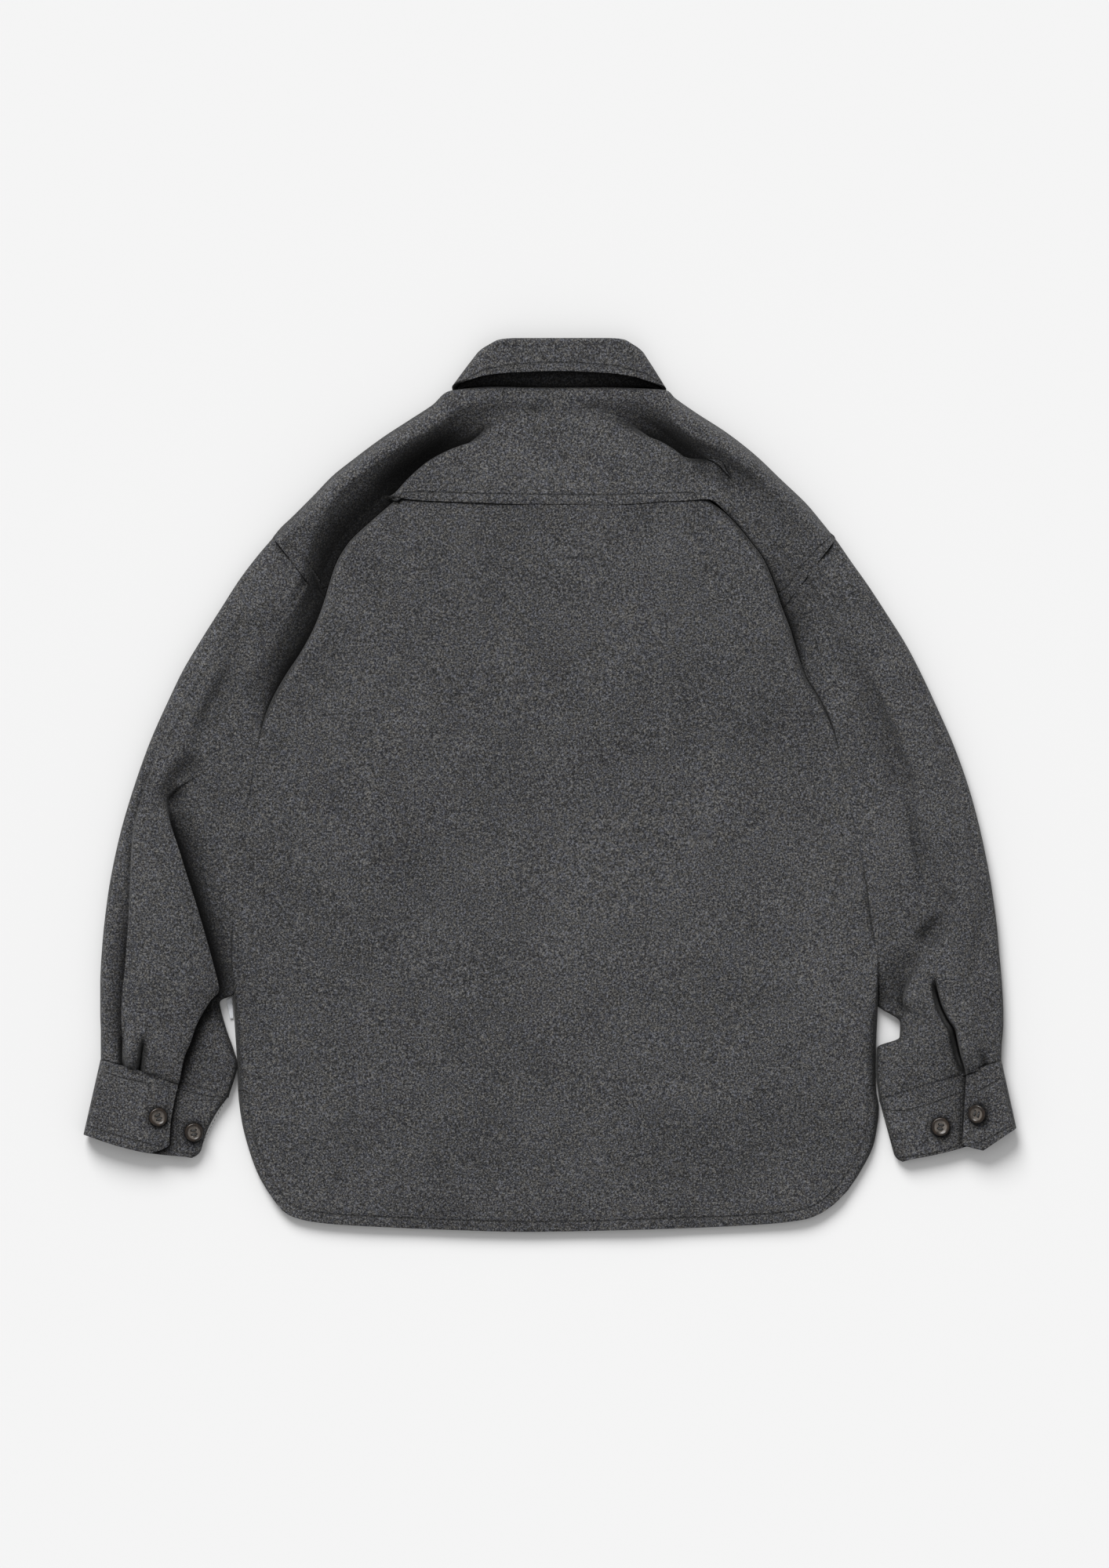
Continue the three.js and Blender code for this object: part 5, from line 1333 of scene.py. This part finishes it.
def thread_mesh():
    """Two bars of three strands each, from hole to hole."""
    solid = bmesh.new()
    for side in (-1, 1):
        for strand in (-1, 0, 1):
            rings = []
            for t in np.linspace(-1, 1, 9):
                x = t * (HOLE_OFFSET + 0.35)
                y = side * HOLE_OFFSET + strand * 0.5 * (1 - 0.35 * t * t)
                z = THREAD_TOP - 1.5 * t**6 - 0.12 * abs(strand)
                ring = []
                for k in range(THREAD_SIDES):
                    angle = 2 * math.pi * k / THREAD_SIDES
                    place = (x, y + THREAD_RADIUS * math.cos(angle), z + THREAD_RADIUS * math.sin(angle))
                    ring.append(solid.verts.new([c * MM for c in place]))
                rings.append(ring)
            for a, b in zip(rings[:-1], rings[1:]):
                for k in range(THREAD_SIDES):
                    after = (k + 1) % THREAD_SIDES
                    solid.faces.new([a[k], a[after], b[after], b[k]])
            solid.faces.new(rings[0][::-1])
            solid.faces.new(rings[-1])
    bmesh.ops.recalc_face_normals(solid, faces=solid.faces)
    mesh = bpy.data.meshes.new("thread")
    solid.to_mesh(mesh)
    solid.free()
    return mesh


BUTTON_MESH = button_mesh()
THREAD_MESH = thread_mesh()
print("a button has", len(BUTTON_MESH.polygons), "faces")

# %% Placing the buttons
# Column: x, y, height of its back, tilt about X, tilt about Y, turn about its own axis, in degrees.
CUFF_BUTTONS = [
    [-363, -308, 16.8, 0, 6, 25],
    [-330, -322, 12.2, 3, 3, 10],
    [360, -317, 12.4, -4, 0, -12],
    [394, -305, 19.9, 6, -24, 70],
]


def placed_button(name, node, place, turns):
    """Copies the shape to its place, and keeps the distance from the middle as the dish attribute."""
    tilt_x, tilt_y, spin = (math.radians(turn) for turn in turns)
    tilt = Euler((tilt_x, tilt_y, 0)).to_matrix().to_4x4()
    matrix = Matrix.Translation(Vector(place) * MM) @ tilt @ Matrix.Rotation(spin, 4, "Z")
    mesh = BUTTON_MESH.copy()
    radius = np.array([math.hypot(v.co.x, v.co.y) for v in mesh.vertices]) / MM
    dish = ease((DISH_RADIUS - radius) / DISH_BLEND)
    mesh.attributes.new("dish", "FLOAT", "POINT").data.foreach_set("value", dish)
    mesh.transform(matrix)
    piece = finish_mesh(name, mesh, HORN)
    dress(piece, node, slot="horn")
    strands = THREAD_MESH.copy()
    strands.transform(matrix)
    dress(finish_mesh(name + "_thread", strands, BUTTON_THREAD), slot="wool")


for i, (x, y, z, *turns) in enumerate(CUFF_BUTTONS, 1):
    placed_button(f"button_cuff_{i}", f"cuff_button_{i}", (x, y, z), turns)
for i in range(FRONT_BUTTON_COUNT):
    place = (FRONT_X, FRONT_BUTTON_TOP_Y - i * FRONT_BUTTON_STEP, BUTTON_THICK)
    placed_button(f"button_front_{i + 1}", f"front_button_{i + 1}", place, (180, 0, 15 * i))

# %% [markdown]
# ## The side label
#
# A short strip of white woven tape stands out of the left side seam. Nothing is printed on it. It is a thin
# band with a slight wave, and its weave is a fine checker of bumps.

# %% The side label
LABEL_CORNERS = [[(-299.8, -200), (-294.6, -196.5)], [(-296.4, -217), (-293.4, -216.6)]]
LABEL_THICK = 0.6
LABEL_MIDDLE = 1.2
LABEL_ROUND = 0.15
LABEL_WAVE = 0.25


def make_tape():
    tape = Graph("woven_tape", Roughness=0.7, Sheen_Weight=0.2)
    place = tape.node("ShaderNodeTexCoord", output="Object")
    weave = tape.node("ShaderNodeTexChecker", None, {"Vector": place, "Scale": 1600}, output="Fac")
    soft = tape.noise(place, 400)
    tones = [(0.3, (0.72, 0.74, 0.78)), (0.7, (0.9, 0.91, 0.93))]
    tape.feed("Base Color", tape.ramp(tones, soft * 0.7 + weave * 0.2))
    tape.bump(weave, 0.3, 0.0002)
    return tape.material


def label_grid():
    coarse = np.array([[[*corner, LABEL_MIDDLE] for corner in row] for row in LABEL_CORNERS], float)
    t = np.linspace(0, 1, 15)[:, None, None]
    s = np.linspace(0, 1, 7)[None, :, None]
    grid = mix(mix(coarse[0, 0], coarse[0, 1], s), mix(coarse[1, 0], coarse[1, 1], s), t)
    grid[..., 2] += LABEL_WAVE * np.sin(3.0 * t[..., 0] * math.pi) * (1 - s[..., 0])
    return grid


outer_face = label_grid() + [0, 0, LABEL_THICK / 2]
label = shell("side_label_tape", outer_face, LABEL_THICK, material=make_tape(), round_edge=LABEL_ROUND)
dress(label, "side_label", slot="tape")

# %% [markdown]
# ## Stitches
#
# Topstitching holds the seams flat and shows as a row of small sunken stitches. A row is a line laid on the
# cloth. Geometry Nodes cut the line into equal steps, put one stitch on each and turn it along the line. The
# line itself is dropped on the cloth by casting a ray straight down on the finished pieces.

# %% Laying lines on the cloth
THREAD_SINK = 0.12


def cloth_trees():
    trees = []
    for name, piece in pieces.items():
        if name.endswith("_cloth"):
            corners = [v.co[:] for v in piece.data.vertices]
            faces = [p.vertices[:] for p in piece.data.polygons]
            trees.append(BVHTree.FromPolygons(corners, faces))
    return trees


CLOTH_TREES = cloth_trees()


def lay(line, from_below=False, spacing=3.0):
    """Drops a floor-plan line in millimetres on the cloth, and gives its points in metres."""
    line = np.asarray(line, float)
    lengths = np.concatenate([[0], np.cumsum(np.hypot(*np.diff(line, axis=0).T))])
    count = max(2, int(lengths[-1] / spacing) + 1)
    way = 1 if from_below else -1
    laid = []
    for at in np.linspace(0, lengths[-1], count):
        x = float(np.interp(at, lengths, line[:, 0]))
        y = float(np.interp(at, lengths, line[:, 1]))
        start = Vector((x * MM, y * MM, -0.1 if from_below else 0.2))
        hits = [tree.ray_cast(start, Vector((0, 0, way))) for tree in CLOTH_TREES]
        hits = [hit for hit in hits if hit[0] is not None]
        if hits:
            nearest = min(hits, key=lambda hit: hit[3])[0]
            laid.append(nearest + Vector((0, 0, way * THREAD_SINK * MM)))
    return laid


# %% [markdown]
# The stitch tree has named inputs for the pitch, the stitch's length and its thickness, and one tree serves
# every row.


# %% The stitch tree
def stitch_tree():
    tree = bpy.data.node_groups.new("topstitch", "GeometryNodeTree")
    face = tree.interface
    face.new_socket("Geometry", in_out="INPUT", socket_type="NodeSocketGeometry")
    for label_text, size in (("Pitch", 0.0036), ("Stitch length", 0.0026), ("Thickness", 0.0006)):
        socket = face.new_socket(label_text, in_out="INPUT", socket_type="NodeSocketFloat")
        socket.default_value = size
    face.new_socket("Geometry", in_out="OUTPUT", socket_type="NodeSocketGeometry")

    def add(kind, links=(), **settings):
        node = tree.nodes.new(kind)
        for key, value in settings.items():
            setattr(node, key, value)
        for target, source in links:
            tree.links.new(source, node.inputs[target])
        return node

    given = add("NodeGroupInput").outputs
    curve = add("GeometryNodeMeshToCurve", [("Mesh", given["Geometry"])])
    curve_in = [("Curve", curve.outputs[0]), ("Length", given["Pitch"])]
    points = add("GeometryNodeCurveToPoints", curve_in, mode="LENGTH")
    aligned = add("FunctionNodeAlignRotationToVector", [("Vector", points.outputs["Tangent"])], axis="X")
    ball = add("GeometryNodeMeshUVSphere")
    ball.inputs["Segments"].default_value = 6
    ball.inputs["Rings"].default_value = 5
    ball.inputs["Radius"].default_value = 0.5
    size = add(
        "ShaderNodeCombineXYZ",
        [("X", given["Stitch length"]), ("Y", given["Thickness"]), ("Z", given["Thickness"])],
    )
    stitches = add(
        "GeometryNodeInstanceOnPoints",
        [
            ("Points", points.outputs["Points"]),
            ("Instance", ball.outputs["Mesh"]),
            ("Rotation", aligned.outputs["Rotation"]),
            ("Scale", size.outputs["Vector"]),
        ],
    )
    real = add("GeometryNodeRealizeInstances", [("Geometry", stitches.outputs[0])])
    dyed = add("GeometryNodeSetMaterial", [("Geometry", real.outputs[0])])
    dyed.inputs["Material"].default_value = THREAD
    add("NodeGroupOutput", [("Geometry", dyed.outputs[0])])
    return tree


STITCHES = stitch_tree()


def sew(name, lines):
    """One piece that holds all the stitches along the given laid lines."""
    mesh = bpy.data.meshes.new(name)
    points = []
    edges = []
    for line in lines:
        edges += [(len(points) + i, len(points) + i + 1) for i in range(len(line) - 1)]
        points += [tuple(p) for p in line]
    mesh.from_pydata(points, edges, [])
    piece = bpy.data.objects.new(name, mesh)
    bpy.context.collection.objects.link(piece)
    modifier = piece.modifiers.new("stitches", "NODES")
    modifier.node_group = STITCHES
    made = bpy.data.meshes.new_from_object(piece.evaluated_get(bpy.context.evaluated_depsgraph_get()))
    piece.modifiers.clear()
    piece.data = made
    for polygon in made.polygons:
        polygon.use_smooth = True
    dress(piece, slot="wool")


# %% [markdown]
# The rows follow what the photograph shows: one above the yoke seam, one inside each armhole, one above the
# hem, one along the collar's edge and two closed ones on each cuff. The hidden front gets the same along its
# placket and hem.

# %% Sewing the rows
YOKE_ROW = pixels((514, 628), (541, 628), (609, 630), (670, 631), (774, 632), (872, 629), (893, 630))
ARMHOLE_LEFT_ROW = pixels((357, 680), (374, 697), (390, 715), (400, 729), (407, 740))
ARMHOLE_RIGHT_ROW = pixels((1061, 684), (1043, 700), (1023, 722), (1006, 748))
COLLAR_ROW = pixels(
    (590, 487), (616, 473), (648, 466), (690, 463), (733, 463), (784, 467), (822, 477), (840, 488)
)
HEM_INSET = 8.7
LEFT_LAP = pixels(
    (131, 1366), (149, 1374), (180, 1381), (216, 1385), (214, 1440), (207, 1464), (160, 1452), (112, 1437)
)
LEFT_UNDER = pixels(
    (227, 1390), (265, 1399), (288, 1401), (300, 1406), (272, 1472), (258, 1474), (226, 1470)
)
RIGHT_UNDER = pixels(
    (1124, 1416), (1152, 1418), (1186, 1409), (1226, 1394), (1225, 1462), (1190, 1472), (1146, 1478)
)
RIGHT_TAB = pixels(
    (1238, 1397), (1262, 1385), (1278, 1375), (1292, 1436), (1262, 1452), (1246, 1460), (1237, 1452)
)


def hem_row():
    """The hem's curve from side seam to side seam, moved inwards by the width of the hem."""
    curve = np.concatenate([SIDE_LEFT[20:24, :2], HEM, SIDE_RIGHT[20:24, :2][::-1]])
    along = unit(np.gradient(curve, axis=0))
    return (curve + np.stack([-along[:, 1], along[:, 0]], -1) * HEM_INSET).tolist()


HEM_ROW = hem_row()
# Points that close each row to a loop. They lie beyond its piece or under the back, out of sight.
around_yoke = pixels((300, 600), (400, 480), (560, 400), (870, 400), (1050, 520), (1110, 640))
under_back_right = pixels((985, 762), (940, 705), (912, 665), (895, 640))
under_back_left = pixels((490, 665), (460, 705), (430, 745), (410, 752))
over_back = [(500, -280), (500, 600), (-500, 600), (-500, -280)]
over_collar = pixels((900, 500), (900, 380), (530, 380), (530, 500))
yoke_loop = [*ARMHOLE_LEFT_ROW[::-1], *around_yoke, *ARMHOLE_RIGHT_ROW]
yoke_loop += [*under_back_right, *YOKE_ROW[::-1], *under_back_left]
mark_stitching(pieces["yoke_cloth"], yoke_loop)
mark_stitching(pieces["back_cloth"], [*HEM_ROW, *over_back])
mark_stitching(pieces["collar_leaf_cloth"], [*COLLAR_ROW, *over_collar])
mark_stitching(pieces["cuff_left_cloth"], LEFT_LAP, LEFT_UNDER)
mark_stitching(pieces["cuff_right_cloth"], RIGHT_UNDER, RIGHT_TAB)

body_rows = [YOKE_ROW, ARMHOLE_LEFT_ROW, ARMHOLE_RIGHT_ROW, COLLAR_ROW, HEM_ROW]
cuff_rows = [LEFT_LAP, LEFT_UNDER, RIGHT_UNDER, RIGHT_TAB]
sew("topstitching", [lay(row) for row in body_rows])
sew("cuff_stitching", [lay([*row, row[0]], spacing=1.5) for row in cuff_rows])
PLACKET_INSET = 4
PLACKET_START_Y = 262
PLACKET_END_Y = -405
placket_rows = []
for side in (-1, 1):
    x = FRONT_X + side * (PLACKET_HALF - PLACKET_INSET)
    placket_rows.append([(x, PLACKET_START_Y), (x, PLACKET_END_Y)])
sew("front_stitching", [lay(row, from_below=True) for row in [*placket_rows, HEM_ROW]])

# %% [markdown]

# %% [markdown]
# ## Floor and light
#
# The garment lies on a plain white floor. One broad lamp from the top left models the folds and casts the
# soft shadow below the hem, and the bright surroundings fill the shadows. A sun lamp with a wide angle gives
# the same light everywhere on the flat garment, as a large studio light does.

# %% Floor and light
FLOOR_SIZE = 6
FLOOR_DROP = 0.0003
SUN_ELEVATION = 35
SUN_TURN = 20
SUN_SPREAD = 32
SUN_STRENGTH = 3.35
SKY_STRENGTH = 0.52

floor_mesh = bpy.data.meshes.new("floor")
half = FLOOR_SIZE / 2
corners = [(x * half, y * half, -FLOOR_DROP) for x, y in ((-1, -1), (1, -1), (1, 1), (-1, 1))]
floor_mesh.from_pydata(corners, [], [(0, 1, 2, 3)])
paper = Graph("paper", Base_Color=(0.805, 0.805, 0.805, 1), Roughness=0.9, Specular_IOR_Level=0.1)
floor = finish_mesh("floor", floor_mesh, paper.material)

sun_data = bpy.data.lights.new("sun", "SUN")
sun_data.energy = SUN_STRENGTH
sun_data.angle = math.radians(SUN_SPREAD)
sun = bpy.data.objects.new("sun", sun_data)
elevation = math.radians(SUN_ELEVATION)
turn = math.radians(SUN_TURN)
level = math.cos(elevation)
towards = Vector((-math.sin(turn) * level, math.cos(turn) * level, math.sin(elevation)))
sun.rotation_euler = towards.to_track_quat("Z", "Y").to_euler()
bpy.context.collection.objects.link(sun)

world = bpy.data.worlds.new("studio")
world.use_nodes = True
world.node_tree.nodes["Background"].inputs["Color"].default_value = (1, 1, 1, 1)
world.node_tree.nodes["Background"].inputs["Strength"].default_value = SKY_STRENGTH
bpy.context.scene.world = world
bpy.context.scene.view_settings.view_transform = "Standard"
